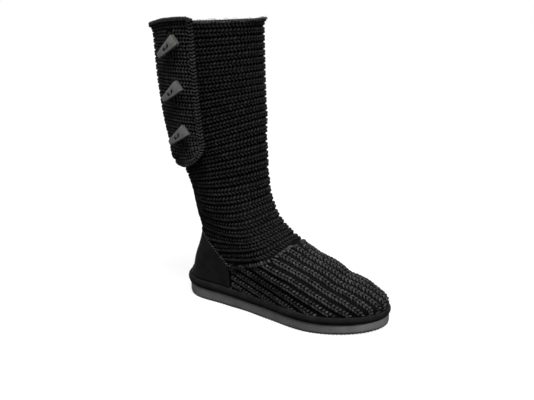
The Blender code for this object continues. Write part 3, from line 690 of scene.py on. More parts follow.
def crease_depth(height, turn, x):
    """Return how far the main creases move a place outwards."""
    degrees = np.degrees(turn) % 360.0
    moved = np.zeros(np.shape(height))
    for level, centre, lean, half_height, half_turn, depth in LEG_CREASES:
        across = degrees - centre
        line = (level + lean * across / QUARTER_TURN) * ANKLE_HEIGHT
        near = 1.0 - smooth_step(np.abs(height - line) / (half_height * ANKLE_HEIGHT))
        moved = moved + depth * near * (1.0 - smooth_step(np.abs(across) / half_turn))
    fade = smooth_step((height - CREASE_FADE_FROM) / (CREASE_FADE_TO - CREASE_FADE_FROM))
    for place, lean, half_length, depth in FOOT_CREASES:
        drop = ridge_height(place * BOOT_LENGTH) - height
        line = place * BOOT_LENGTH - lean * drop
        near = 1.0 - smooth_step(np.abs(x - line) / (half_length * BOOT_LENGTH))
        moved = moved + depth * near * fade
    return moved


def form_offset(height, turn, offset):
    """Return places at a distance outside the form, with its creases."""
    height, turn, offset = np.broadcast_arrays(height, turn, offset)
    place = form_place(height, turn)
    offset = offset + crease_depth(height, turn, place[..., 0])
    return settle(place + form_normal(height, turn) * offset[..., None])


def form_ring(height, turn, offset):
    """Return places at a level distance outside the form, keeping their heights."""
    height, turn, offset = np.broadcast_arrays(height, turn, offset)
    normal = form_normal(height, turn)
    normal[..., 2] = 0.0
    return settle(form_place(height, turn) + unit(normal) * offset[..., None])


def turn_at(height, x):
    """Return the turn on the outer side where a loop passes a place along the foot."""
    _, _, centre, half_depth = loop_place(height, np.zeros_like(height))
    return np.arccos(np.clip((centre - x) / half_depth, -1.0, 1.0))


def on_side(turn, side):
    """Keep a turn on the outer side, or mirror it to the inner side."""
    return np.where(side > 0, turn, 2 * math.pi - turn)


def sole_top(x):
    """Return the height of the sole's upper face, before toe spring."""
    return SOLE_AT_HEEL + (SOLE_AT_TOE - SOLE_AT_HEEL) * x / BOOT_LENGTH


def rim_top(x):
    """Return the height of the rim's upper edge, before toe spring."""
    return sole_top(x) + RIM_AT_HEEL + (RIM_AT_TOE - RIM_AT_HEEL) * x / BOOT_LENGTH


def seam_height(x):
    """Return the height of the line where foot and shaft meet."""
    ahead = through(x, SEAM_LINE[:, 0], SEAM_LINE[:, 1])
    climb = SEAM_LINE[0, 1] + COUNTER_SLOPE * (COUNTER_CORNER - x)
    return np.where(x < COUNTER_CORNER, np.minimum(climb, COUNTER_TOP), ahead)


def columns(back_count, front_count):
    """Return shares of the way round: below 1 behind the counter's corner, then ahead."""
    back = np.arange(0, back_count) / back_count
    front = 1.0 + np.arange(0, front_count + 1) / front_count
    half = np.concatenate([back, front])
    share = np.concatenate([half, half[-2:0:-1]])
    side = np.concatenate([np.ones(len(half)), -np.ones(len(half) - 2)])
    return share, side


def turns_of(height, share, side):
    """Return each column's turn at its height."""
    corner = turn_at(height, COUNTER_CORNER)
    ahead = corner + (share - 1.0) * (math.pi - corner)
    return on_side(np.where(share < 1.0, share * corner, ahead), side)


def solve_height(target, share, side):
    """Find each column's height where the form meets a level that depends on the place."""
    low = np.full(len(share), LOWEST_LEVEL)
    high = np.full(len(share), ANKLE_HEIGHT)
    for _ in range(SOLVE_STEPS):
        middle = (low + high) / 2
        x = form_place(middle, turns_of(middle, share, side))[:, 0]
        below = middle < target(x)
        low = np.where(below, middle, low)
        high = np.where(below, high, middle)
    return (low + high) / 2


def wall_foot(share, side, lift=CLEARANCE):
    """Return each column's height at a small lift above the sole."""
    return solve_height(lambda x: sole_top(x) + lift, share, side)


def rib_height(number, turn):
    """Return the height of a valley, or of a rib halfway between two valleys."""
    front, lean, droop = np.moveaxis(through(number, RIB_ROWS[:, 0], RIB_ROWS[:, 1:]), -1, 0)
    return front - lean * (1.0 + np.cos(turn)) - droop * np.sin(turn) ** 2


def flap_bottom(turn):
    """Return the height of the flap's lower edge, rounded towards its front corner."""
    start = REAR + FLAP_CORNER_FROM * (FRONT - REAR)
    share = np.clip((turn - start) / (FRONT + FLAP_CORNER_BEYOND - start), 0.0, 1.0)
    return FLAP_HEAD - FLAP_LENGTH + FLAP_CORNER * (1.0 - np.sqrt(1.0 - share * share))


def flap_gap(height, turn):
    """Return the air between shaft and flap, which grows to the lower front corner."""
    drop = np.clip((COLLAR_HEIGHT - height) / FLAP_LENGTH, 0.0, 1.0)
    along = smooth_step((turn - REAR) / (FRONT - REAR))
    return 2 * CLEARANCE + FLAP_STAND * along * drop**1.5


def flap_place(height, turn, depth):
    """Return a place on the flap, its depth measured out from its inner face."""
    height, turn, depth = np.broadcast_arrays(height, turn, depth)
    flare = FLAP_FLARE * smooth_step((height - FLAP_HEAD) / RIB_PITCH + 1.0)
    degrees = np.degrees(turn)
    swells = through(degrees, FLAP_SWELLS[:, 0], FLAP_SWELLS[:, 1:])
    rise = height - flap_bottom(turn)
    rounded = FLAP_FOOT_LEAST + (1.0 - FLAP_FOOT_LEAST) * smooth_step(rise / FLAP_FOOT_ROUND)
    low = (1.0 - smooth_step(rise / FLAP_FOOT_REACH)) * rounded
    swell = swells[..., 0] + swells[..., 1] * low
    behind = 1.0 - smooth_step((degrees - FLAP_CURL_FADE) / FLAP_CURL_FADE)
    curl = FLAP_CURL * behind * (1.0 - smooth_step((FLAP_HEAD - height) / FLAP_CURL_REACH))
    out = flap_gap(height, turn) + flare + swell + curl + depth
    place = form_ring(np.minimum(height, COLLAR_HEIGHT), turn, out)
    rise = through(degrees, FLAP_RISES[:, 0], FLAP_RISES[:, 1])
    place[..., 2] = height + rise * (1.0 - smooth_step((FLAP_HEAD - height) / FLAP_TOP_REACH))
    return place


def turn_step(length, height, turn):
    """Return how many radians of turn a length along the shaft takes."""
    ends = form_place(height, np.array([turn, turn + TURN_STEP]))
    return length * TURN_STEP / np.linalg.norm(ends[1] - ends[0])


def button_heights():
    """Return the heights of the buttons, from the top down."""
    return [FLAP_HEAD - BUTTON_DROP - number * BUTTON_PITCH for number in range(BUTTON_COUNT)]


def button_frame(height):
    """Return a button's place on the flap with its axes, and its distance to the shaft."""
    place = flap_place(height, BUTTON, FLAP_THICKNESS)
    rear = flap_place(height, BUTTON - 2 * TURN_STEP, FLAP_THICKNESS)
    front = flap_place(height, BUTTON + 2 * TURN_STEP, FLAP_THICKNESS)
    above = flap_place(height + 4 * HEIGHT_STEP, BUTTON, FLAP_THICKNESS)
    along = Vector(front - rear).normalized()
    out = along.cross(Vector(above - place)).normalized()
    up = out.cross(along)
    tilt = math.radians(TOGGLE_TILT)
    axis = along * math.cos(tilt) + up * math.sin(tilt)
    frame = Matrix((axis, out.cross(axis), out)).transposed().to_4x4()
    frame.translation = Vector(place)
    return frame, -float(np.dot(place - form_ring(height, BUTTON, 0.0), np.array(out)))


def make_mesh(name, places, quads, material, uv=None, tone=None, smooth=True):
    """Return an object from arrays of places and four-sided faces that rides on the boot."""
    places = np.asarray(places, float).reshape(-1, 3)
    quads = np.asarray(quads, int).reshape(-1, 4)
    mesh = bpy.data.meshes.new(name)
    mesh.vertices.add(len(places))
    mesh.vertices.foreach_set("co", places.ravel())
    mesh.loops.add(quads.size)
    mesh.loops.foreach_set("vertex_index", quads.ravel())
    mesh.polygons.add(len(quads))
    mesh.polygons.foreach_set("loop_start", np.arange(0, quads.size, 4))
    mesh.update(calc_edges=True)
    mesh.validate()
    mesh.polygons.foreach_set("use_smooth", np.full(len(mesh.polygons), smooth))
    if uv is not None:
        layer = mesh.uv_layers.new(name="yarn")
        layer.data.foreach_set("uv", np.asarray(uv, float).ravel())
    if tone is not None:
        attribute = mesh.attributes.new("tone", "FLOAT", "POINT")
        attribute.data.foreach_set("value", np.asarray(tone, float).ravel())
    mesh.materials.append(material)
    piece = bpy.data.objects.new(name, mesh)
    bpy.context.scene.collection.objects.link(piece)
    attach(piece, "root")
    return piece


def grid_quads(rows, cells, wrap=False, close=False):
    """Return the faces of a grid of places, whose cells and rows go round if asked."""
    last = cells if wrap else cells - 1
    row, cell = np.meshgrid(np.arange(rows if close else rows - 1), np.arange(last), indexing="ij")
    after = (cell + 1) % cells
    below = (row + 1) % rows
    corners = [row * cells + cell, row * cells + after]
    corners += [below * cells + after, below * cells + cell]
    return np.stack(corners, axis=-1).reshape(-1, 4)


def tube_quads(sections, sides):
    """Return the outward faces of a tube that is closed at both ends."""
    caps = []
    for first in range(sides // 2 - 1):
        strip = (first, first + 1, sides - 2 - first, sides - 1 - first)
        caps += [strip[::-1], tuple((sections - 1) * sides + i for i in strip)]
    return np.concatenate([grid_quads(sections, sides, wrap=True), caps])[:, ::-1]


class Leaves:
    """Tapered tubes that are gathered and then joined into one mesh."""

    def __init__(self, seed):
        self.random = np.random.default_rng(seed)
        self.tubes = []

    def add(self, controls, normals, width, thickness, tone=0.0):
        """Add tubes from three known places each, with their outward normals."""
        count = len(controls)
        size = np.stack([np.broadcast_to(width, count), np.broadcast_to(thickness, count)], -1)
        size = size * self.random.normal(1.0, SIZE_SPREAD, (count, 1))
        tones = tone + self.random.normal(0.0, TONE_SPREAD, count)
        known = ~(np.isnan(controls).any(axis=(1, 2)) | np.isnan(normals).any(axis=1))
        self.tubes.append([part[known] for part in (controls, normals, size, tones)])

    def lay(self, place, run, across, depth, width, thickness, tone=0.0):
        """Add tubes on a surface, each through three places by run, across and depth."""
        run, across, depth = np.broadcast_arrays(run, across, depth)
        controls = place(run, across, depth)
        above = place(run[:, 1], across[:, 1], depth[:, 1] + 2 * HEIGHT_STEP)
        self.add(controls, above - controls[:, 1], width, thickness, tone)

    def mesh(self, name, material, slot):
        """Join all tubes into one mesh."""
        controls, normals, sizes, tones = (np.concatenate(part) for part in zip(*self.tubes))
        share = np.linspace(0.0, 1.0, LEAF_SECTIONS)[None, :, None]
        start, middle, end = (controls[:, i, None, :] for i in range(3))
        centre = (1 - share) ** 2 * start + 2 * share * (1 - share) * middle + share**2 * end
        tangent = unit(2 * (1 - share) * (middle - start) + 2 * share * (end - middle))
        side = unit(np.cross(tangent, normals[:, None, :]))
        out = np.cross(side, tangent)
        profile = np.sin(math.pi * (LEAF_TIP + (1 - 2 * LEAF_TIP) * share)) ** LEAF_FULLNESS
        profile = profile[:, :, None]
        angle = (np.arange(LEAF_SIDES) * 2 * math.pi / LEAF_SIDES)[None, None, :, None]
        width = sizes[:, None, None, :1] / 2 * profile
        thickness = sizes[:, None, None, 1:] / 2 * profile
        ring = side[:, :, None] * width * np.cos(angle) + out[:, :, None] * thickness * np.sin(angle)
        tube = tube_quads(LEAF_SECTIONS, LEAF_SIDES)
        firsts = np.arange(len(controls)) * LEAF_SECTIONS * LEAF_SIDES
        around = tube % LEAF_SIDES
        wraps = (around == 0) & (around.max(axis=1, keepdims=True) == LEAF_SIDES - 1)
        length = np.linalg.norm(controls[:, 2] - controls[:, 0], axis=-1) / LEAF_WIDTH
        uv = np.empty((len(controls), len(tube), 4, 2))
        uv[..., 0] = tube // LEAF_SIDES / (LEAF_SECTIONS - 1) * length[:, None, None]
        uv[..., 1] = around / LEAF_SIDES + wraps
        # Each leaf's tone: its random tone, with painted light on its outer side and painted shade on
        # its inner side and towards its ends
        tone = tones[:, None, None, None] + CROWN_PAINTED_LIGHT * np.sin(angle) - END_PAINTED_SHADE * (1.0 - profile)
        quads = tube + firsts[:, None, None]
        return make_mesh(name, centre[:, :, None] + ring, quads, material, uv, tone)


def stitch_rows(
    leaves, place, runs, half_width, tone=0.0, width=LEAF_WIDTH, roll=0.0, reach=LEAF_REACH
):
    """Lay stitches along one rib, each a pair of leaves that opens in the rib's direction.

    place(run, across, depth) returns places; runs are where the stitches start, and roll is
    how far the rib's flanks bulge.
    """
    random = leaves.random
    shape = (len(runs), 3)
    runs = runs + random.normal(0.0, RUN_SPREAD, len(runs))
    along = runs[:, None] + np.array([-LEAF_BACK, LEAF_MIDDLE * reach, reach])
    for sign in (-1.0, 1.0):
        across = RIB_ACROSS * half_width * sign + random.normal(0.0, ACROSS_SPREAD, shape)
        depth = RIB_DEPTH + RIB_ROLL * roll + random.normal(0.0, DEPTH_SPREAD, shape)
        leaves.lay(place, along, across, depth, width, LEAF_THICKNESS, tone)


def rib_runs(places, pitch=STITCH_PITCH):
    """Return running lengths along a line of places, and even places for its stitches."""
    run = running_length(places)
    count = max(int(round(run[-1] / pitch)), 1)
    return run, np.arange(count) * run[-1] / count


def under_flap(height, turn, margin):
    """Return whether the flap hides a place on the shaft, with a margin inside its edges."""
    inside = (turn > REAR + margin) & (turn < FRONT - margin)
    return inside & (height > flap_bottom(turn) + margin * SHAFT_DEPTH / 2)


def knit_shaft(material):
    """Ribs round the leg, from the collar to the seam."""
    for group, (first, last) in enumerate(SHAFT_GROUPS):
        leaves = Leaves(seed=10 + group)
        for number in range(first, last):
            middle = number + 0.5
            run, starts = rib_runs(form_place(rib_height(middle, ROUND), ROUND))
            turns = np.interp(starts, run, ROUND)
            height = rib_height(middle, turns)
            shown = ~under_flap(height, turns, RIBS_UNDER_FLAP)
            x = form_place(height, turns)[:, 0]
            shown &= height > seam_height(x) + SEAM_ROOM
            half = (rib_height(number, turns) - rib_height(number + 1.0, turns)) / 2

            def place(at, across, depth, run=run, middle=middle):
                rounds = np.floor(at / run[-1])
                turn = np.interp(at - rounds * run[-1], run, ROUND) + 2 * math.pi * rounds
                return form_offset(rib_height(middle, turn) + across, turn, depth - SHAFT_SINK)

            roll = SHAFT_ROLL * (0.5 + 0.5 * smooth_step(number / RIB_COUNT))
            stitch_rows(leaves, place, starts[shown], half[shown, None] * ROW_FILL, roll=roll)
        if last == RIB_COUNT:
            seam_row(leaves)
        leaves.mesh(f"shaft_stitches_{group + 1}", material, "knit")


def seam_row(leaves):
    """Fill the wedge between the last rib and the seam on each side of the ankle."""
    last = rib_height(float(RIB_COUNT), ROUND)
    seam = last
    for _ in range(SEAM_STEPS):
        x = form_place(seam, ROUND)[:, 0]
        seam = 0.5 * seam + 0.5 * seam_height(x)
    half = (last - seam) / 2
    middle = (last + seam) / 2
    run, starts = rib_runs(form_place(middle, ROUND))
    turns = np.interp(starts, run, ROUND)
    room = np.interp(turns, ROUND, half)
    shown = (room > LEAST_ROOM) & (room < MOST_ROOM)

    def place(at, across, depth):
        turn = np.interp(at, run, ROUND)
        return form_offset(np.interp(turn, ROUND, middle) + across, turn, depth - 2 * SHAFT_SINK)

    stitch_rows(leaves, place, starts[shown], room[shown, None] * ROW_FILL, tone=SEAM_TONE)


class FootMap:
    """Places on the foot by a station along it and a girth measured from its ridge."""

    def __init__(self):
        back = np.arange(COUNTER_CORNER - MAP_BEHIND, FAN_FROM, MAP_STEP)
        angles = np.radians(np.linspace(QUARTER_TURN, FAN_LAST, FAN_COUNT + 1))[1:]
        self.stations = len(back) + len(angles)
        girths = np.arange(-MAP_GIRTH, MAP_GIRTH + MAP_GIRTH_STEP / 10, MAP_GIRTH_STEP)
        self.girths = girths * BALL_WIDTH
        self.heights = np.full((self.stations, len(self.girths)), np.nan)
        self.turns = np.full((self.stations, len(self.girths)), np.nan)
        planes = [(x, math.pi / 2) for x in back] + [(FAN_FROM, angle) for angle in angles]
        for number, (x, angle) in enumerate(planes):
            for side in (1, -1):
                self.add_arch(number, x, angle, side)

    def add_arch(self, number, x, angle, side):
        """Trace where an upright or leaning plane meets the form, from the ridge down."""
        lean = 1.0 / math.tan(angle)

        def target(height):
            return x + (height - FAN_HEIGHT) * lean

        low, high = MAP_LOWEST, COLLAR_HEIGHT
        for _ in range(SOLVE_STEPS):
            middle = (low + high) / 2
            front = through(middle, SECTIONS[:, 0], SECTIONS[:, 2])
            if front > target(middle):
                low = middle
            else:
                high = middle
        if low < MAP_BOTTOM:
            return
        height = low + (MAP_BOTTOM - low) * np.linspace(0.0, 1.0, MAP_ARCH) ** 2
        turn = turn_at(height, target(height))
        turn[0] = math.pi
        turn = on_side(turn, side)
        girth = running_length(form_place(height, turn))
        if x < RIDGE_FROM:
            line = SIDE_LINE_HEIGHT + SIDE_LINE_CLIMB * (RIDGE_FROM - x)
            girth = girth + SIDE_LINE_GIRTH - np.interp(-line, -height, girth)
        wanted = self.girths * side
        inside = (wanted >= max(girth[0], 0.0)) & (wanted <= girth[-1])
        self.heights[number, inside] = np.interp(wanted[inside], girth, height)
        self.turns[number, inside] = np.interp(wanted[inside], girth, turn)

    def read(self, station, girth):
        """Return height and turn at fractional stations and girths."""
        station = np.clip(station, 0, self.stations - 1 - MAP_MARGIN)
        column = (girth - self.girths[0]) / (self.girths[1] - self.girths[0])
        column = np.clip(column, 0, len(self.girths) - 1 - MAP_MARGIN)
        row, cell = np.floor(station).astype(int), np.floor(column).astype(int)
        down, right = station - row, column - cell
        result = []
        for table in (self.heights, self.turns):
            before = table[row, cell] * (1 - down) + table[row + 1, cell] * down
            after = table[row, cell + 1] * (1 - down) + table[row + 1, cell + 1] * down
            result.append(before * (1 - right) + after * right)
        return result


def knit_foot(material):
    """Ribs along the foot, from the seam and the counter to the rim."""
    foot = FootMap()
    stations = np.linspace(0, foot.stations - 1 - 10 * MAP_MARGIN, MAP_FINENESS * foot.stations)
    leaves = {1: Leaves(seed=30), -1: Leaves(seed=31)}
    bars = Leaves(seed=32)
    for number in FOOT_RIB_ROWS[:-1, 0].astype(int):
        edges = through(np.array([number, number + 1.0]), FOOT_RIB_ROWS[:, 0], FOOT_RIB_ROWS[:, 1])
        half = (edges[1] - edges[0]) / 2
        for kind, girth in (("rib", edges.mean()), ("valley", edges[1])):
            height, turn = foot.read(stations, np.full(len(stations), girth))
            known = ~np.isnan(height)
            if known.sum() < MAP_LEAST:
                continue
            rib_stations = stations[known]
            centre = form_place(height[known], turn[known])
            run, starts = rib_runs(centre)
            x = np.interp(starts, run, centre[:, 0])
            level = np.interp(starts, run, height[known])
            shown = (level < seam_height(x) - FOOT_BELOW_SEAM) & (level > rim_top(x) - FOOT_BEHIND_RIM)
            shown &= x > COUNTER_CORNER + FOOT_FROM_COUNTER

            def place(at, across, depth, run=run, rib_stations=rib_stations, girth=girth):
                height, turn = foot.read(np.interp(at, run, rib_stations), girth + across)
                return form_offset(height, turn, depth - FOOT_SINK)

            if not shown.any():
                continue
            if kind == "rib":
                width = min(FOOT_RIB_SHARE * half, FOOT_RIB_MOST)
                batch = leaves[1 if girth > 0 else -1]
                kept = starts[shown]
                stitch_rows(batch, place, kept, width, FOOT_TONE, FOOT_LEAF_WIDTH, FOOT_ROLL)
            else:
                purl_bars(bars, place, starts[shown], FOOT_BAR_SHARE * half)
    leaves[1].mesh("foot_stitches_outer", material, "knit")
    leaves[-1].mesh("foot_stitches_inner", material, "knit")
    bars.mesh("foot_valleys", material, "knit")


def instep_edge(material):
    """Raised edges of the knit: the foot's along its seam, the leg's along the counter."""
    leaves = Leaves(seed=35)
    levels = np.linspace(INSTEP_LOWEST, ANKLE_HEIGHT, RIDGE_PLACES)
    ridge = through(levels, SECTIONS[:, 0], SECTIONS[:, 2])
    peak = ridge[np.argmin(np.abs(levels - seam_height(ridge)))]
    start, end = COUNTER_CORNER + INSTEP_FROM, peak - INSTEP_SHORT
    ahead = np.linspace(start, end, INSTEP_PLACES)
    end = COUNTER_CORNER + COUNTER_EDGE_PAST
    behind = np.linspace(COUNTER_EDGE_FROM, end, SLOPE_PLACES)
    for side in (1, -1):

        def along(x, drop, depth, side=side):
            level = seam_height(x) - drop
            return form_offset(level, on_side(turn_at(level, x), side), depth)

        run, starts = rib_runs(along(ahead, INSTEP_LINE_DROP, 0.0), INSTEP_PITCH)
        x = np.interp(starts, run, ahead)
        front = smooth_step((x - INSTEP_BROAD_FROM) / INSTEP_BROAD_OVER)
        width = INSTEP_WIDTH + INSTEP_BROADER * front
        tone = INSTEP_TONE + (INSTEP_FRONT_TONE - INSTEP_TONE) * front
        run = x[:, None] + INSTEP_RUN
        leaves.lay(along, run, INSTEP_DROP, INSTEP_DEPTH, width, INSTEP_WIDTH, tone)
        level = seam_height(behind) + COUNTER_EDGE_LIFT
        turn = on_side(turn_at(level, behind), side)
        place, length = edge_line(form_ring(level, turn, COUNTER_PROUD), form_normal(level, turn))
        run = even_steps(length, EDGE_PITCH)[:, None] + COUNTER_RUN
        size = (COUNTER_LEAF_WIDTH, COUNTER_LEAF_THICKNESS)
        leaves.lay(place, run, COUNTER_ACROSS * side, COUNTER_DEPTH, *size, COUNTER_TONE)
    leaves.mesh("instep_edge", material, "knit")


def purl_bars(leaves, place, runs, half_width):
    """Lay low bars across a wide valley, the backs of its stitches."""
    random = leaves.random
    shape = (len(runs), 3)
    for shift in (0.0, 0.5):
        run = runs[:, None] + shift * STITCH_PITCH + random.normal(0.0, BAR_SPREAD, shape)
        across = BAR_ACROSS * half_width + random.normal(0.0, BAR_SPREAD, shape)
        depth = BAR_DEPTH + random.normal(0.0, BAR_DEPTH_SPREAD, shape)
        # The bars' dark tone is painted shade in the valley.
        leaves.lay(place, run, across, depth, BAR_WIDTH, BAR_THICKNESS, BAR_SHADE_TONE)


def flap_levels(share, turn):
    """Return flap heights from a share of its length, which follow its rounded bottom."""
    bottom = FLAP_HEAD - FLAP_LENGTH
    level = FLAP_HEAD - share * FLAP_LENGTH
    fade = np.clip(1.0 - (level - bottom) / (FLAP_FOOT_SHARE * FLAP_LENGTH), 0.0, 1.0)
    return level + (flap_bottom(turn) - bottom) * fade


def knit_flap(material):
    """Ribs across the flap, which leave its buttonholes open."""
    leaves = Leaves(seed=40)
    middle_height = FLAP_HEAD - FLAP_LENGTH / 2
    clear = turn_step(SLOT_WIDTH / 2 + SLOT_RIM, middle_height, BUTTON)
    end = FRONT - turn_step(FLAP_EDGE_WIDTH, middle_height, FRONT)
    fine = np.linspace(REAR, end, RIB_PLACES)
    knitted = FLAP_LENGTH - (FLAP_TOP_EDGE + 1.0) * FLAP_EDGE_WIDTH
    count = int(knitted / RIB_PITCH)
    pitch = knitted / count
    surface = FLAP_THICKNESS - FLAP_SINK
    for number in range(count):
        share = (FLAP_TOP_EDGE * FLAP_EDGE_WIDTH + (number + 0.5) * pitch) / FLAP_LENGTH
        run, starts = rib_runs(flap_place(flap_levels(share, fine), fine, surface))
        turns = np.interp(starts + LEAF_REACH / 2, run, fine)
        level = flap_levels(share, turns)
        shown = np.ones(len(starts), bool)
        for height in button_heights():
            inside = np.abs(level - height) < SLOT_LENGTH / 2 + SLOT_END_RIM
            shown &= ~(inside & (np.abs(turns - BUTTON) < clear))

        def place(at, across, depth, run=run, share=share):
            turn = np.interp(at, run, fine)
            return flap_place(flap_levels(share, turn) + across, turn, surface + depth)

        width = pitch / 2 * ROW_FILL
        look = (FLAP_TONE, FLAP_LEAF_WIDTH, FLAP_ROLL, FLAP_REACH)
        stitch_rows(leaves, place, starts[shown], width, *look)
    leaves.mesh("flap_stitches", material, "knit")


def make_shader(name, colour, roughness, specular=0.1):
    """Return a new material with its node tree and its main shader."""
    material = bpy.data.materials.new(name)
    material.use_nodes = True
    shader = material.node_tree.nodes["Principled BSDF"]
    shader.inputs["Base Color"].default_value = (*colour, 1.0)
    shader.inputs["Roughness"].default_value = roughness
    shader.inputs["Specular IOR Level"].default_value = specular
    return material, material.node_tree, shader


def grey(value, tint=1.0):
    """Return a grey with a slight tint of its blue part."""
    return (value, value, value * tint, 1.0)


def add_noise(tree, scale, detail=2.0, vector=None):
    """Add a noise texture in object space, or along a given vector."""
    noise = tree.nodes.new("ShaderNodeTexNoise")
    noise.inputs["Scale"].default_value = scale
    noise.inputs["Detail"].default_value = detail
    if vector is None:
        place = tree.nodes.new("ShaderNodeTexCoord")
        vector = place.outputs["Object"]
    tree.links.new(vector, noise.inputs["Vector"])
    return noise.outputs["Fac"]


def add_ramp(tree, factor, stops):
    """Add a colour ramp from pairs of place and colour."""
    ramp = tree.nodes.new("ShaderNodeValToRGB")
    elements = ramp.color_ramp.elements
    while len(elements) < len(stops):
        elements.new(0.5)
    for element, (place, colour) in zip(elements, stops):
        element.position = place
        element.color = colour
    tree.links.new(factor, ramp.inputs["Fac"])
    return ramp.outputs["Color"]


def add_range(tree, value, low, high, to_low=0.0, to_high=1.0):
    """Map a value from one range to another."""
    scale = tree.nodes.new("ShaderNodeMapRange")
    ends = {"From Min": low, "From Max": high, "To Min": to_low, "To Max": to_high}
    for socket, number in ends.items():
        scale.inputs[socket].default_value = number
    tree.links.new(value, scale.inputs["Value"])
    return scale.outputs["Result"]


def add_math(tree, operation, first, second):
    """Combine two values; either may be a number."""
    node = tree.nodes.new("ShaderNodeMath")
    node.operation = operation
    for socket, value in zip(node.inputs, (first, second)):
        if isinstance(value, (int, float)):
            socket.default_value = value
        else:
            tree.links.new(value, socket)
    return node.outputs["Value"]


def add_mix(tree, factor, first, colour):
    """Mix a colour into another by a factor."""
    mix = tree.nodes.new("ShaderNodeMix")
    mix.data_type = "RGBA"
    tree.links.new(factor, mix.inputs["Factor"])
    tree.links.new(first, mix.inputs["A"])
    mix.inputs["B"].default_value = colour
    return mix.outputs["Result"]


def paint(tree, shader, factor, stops):
    """Colour a shader by a ramp along a factor."""
    tree.links.new(add_ramp(tree, factor, stops), shader.inputs["Base Color"])


def add_sheen(shader, weight, roughness):
    """Add the pale fuzz of fibres that are seen from the side."""
    shader.inputs["Sheen Weight"].default_value = weight
    shader.inputs["Sheen Roughness"].default_value = roughness


def add_bump(tree, shader, heights):
    """Chain bumps of a height, a strength and a distance each into the shader's normal."""
    normal = None
    for height, strength, distance in heights:
        bump = tree.nodes.new("ShaderNodeBump")
        bump.inputs["Strength"].default_value = strength
        bump.inputs["Distance"].default_value = distance
        tree.links.new(height, bump.inputs["Height"])
        if normal is not None:
            tree.links.new(normal, bump.inputs["Normal"])
        normal = bump.outputs["Normal"]
    tree.links.new(normal, shader.inputs["Normal"])


def yarn_material(name, dark, light):
    """Knitting yarn with a plied twist, soft fibres and slight changes of tone; the tone it reads also
    holds painted light and painted shade.
    """
    material, tree, shader = make_shader(name, (light, light, light), 0.80)
    tone = tree.nodes.new("ShaderNodeAttribute")
    tone.attribute_name = "tone"
    uv = tree.nodes.new("ShaderNodeUVMap")
    uv.uv_map = "yarn"
    fibres = add_noise(tree, scale=2600.0, detail=3.0)
    fuzz = add_range(tree, fibres, 0.3, 0.7, -0.35, 0.35)
    mixed = add_math(tree, "ADD", tone.outputs["Fac"], fuzz)
    factor = add_range(tree, mixed, -1.4, 1.4)
    middle = math.sqrt(dark * light)
    stops = ((0.0, grey(dark, 1.08)), (0.5, grey(middle, 1.06)), (1.0, grey(light, 1.04)))
    paint(tree, shader, factor, stops)
    wave = tree.nodes.new("ShaderNodeTexWave")
    wave.wave_type = "BANDS"
    wave.bands_direction = "DIAGONAL"
    wave.inputs["Scale"].default_value = 1.6
    wave.inputs["Distortion"].default_value = 0.8
    tree.links.new(uv.outputs["UV"], wave.inputs["Vector"])
    add_bump(tree, shader, ((wave.outputs["Fac"], 0.6, 0.0004), (fibres, 0.5, 0.00015)))
    add_sheen(shader, weight=0.035, roughness=0.4)
    return material


def shaded_ground_material():
    """Dark knitting behind the raised stitches, painted darker than the stitches as shade between them,
    and the plain inside of the walls.
    """
    material, tree, shader = make_shader("knit_ground_painted_shade", (0.004, 0.004, 0.004), 0.95, 0.05)
    fine = add_noise(tree, scale=1400.0)
    # Very dark grey: the black yarn with painted shade of the hollows between stitches
    stops = ((0.3, grey(0.0020)), (0.7, grey(0.0070)))
    paint(tree, shader, fine, stops)
    add_bump(tree, shader, ((fine, 0.6, 0.0004),))
    return material


def suede_material(name, dark, light, patch=60.0):
    """Napped suede, mottled where the nap lies in different directions."""
    material, tree, shader = make_shader(name, (light, light, light), 0.92, 0.08)
    patches = add_noise(tree, scale=patch, detail=5.0)
    fine = add_noise(tree, scale=1800.0, detail=4.0)
    mixed = add_math(tree, "ADD", patches, add_math(tree, "MULTIPLY", fine, 0.6))
    stops = ((0.0, grey(dark)), (1.0, grey(light)))
    paint(tree, shader, add_range(tree, mixed, 0.55, 1.05), stops)
    add_bump(tree, shader, ((patches, 0.25, 0.0006), (fine, 0.55, 0.00018)))
    add_sheen(shader, weight=0.05, roughness=0.35)
    return material


def foam_material():
    """Moulded foam of the outsole, finely grained, darker towards its lower edge."""
    material, tree, shader = make_shader("sole_foam", (0.1, 0.1, 0.1), 0.62, 0.3)
    grain = add_noise(tree, scale=1500.0, detail=3.0)
    broad = add_noise(tree, scale=70.0, detail=4.0)
    place = tree.nodes.new("ShaderNodeTexCoord")
    split = tree.nodes.new("ShaderNodeSeparateXYZ")
    tree.links.new(place.outputs["Object"], split.inputs["Vector"])
    level = add_range(tree, split.outputs["Z"], 0.001, 0.013, -0.16, 0.16)
    darker_below = add_math(tree, "ADD", broad, level)
    mixed = add_math(tree, "ADD", darker_below, add_math(tree, "MULTIPLY", grain, 0.5))
    stops = ((0.0, grey(0.120, 1.02)), (1.0, grey(0.220, 1.02)))
    paint(tree, shader, add_range(tree, mixed, 0.4, 1.1), stops)
    tree.links.new(add_range(tree, grain, 0.3, 0.7, 0.55, 0.75), shader.inputs["Roughness"])
    add_bump(tree, shader, ((grain, 0.4, 0.0002), (broad, 0.2, 0.0006)))
    return material


def fleece_material():
    """Short pile of the insole."""
    material, tree, shader = make_shader("fleece", (0.012, 0.012, 0.012), 1.0, 0.05)
    curls = add_noise(tree, scale=420.0, detail=5.0)
    fine = add_noise(tree, scale=2200.0, detail=3.0)
    stops = ((0.3, grey(0.010)), (0.75, grey(0.040)))
    paint(tree, shader, curls, stops)
    add_bump(tree, shader, ((curls, 1.0, 0.0014), (fine, 0.6, 0.0003)))
    shader.inputs["Sheen Weight"].default_value = 0.15
    return material


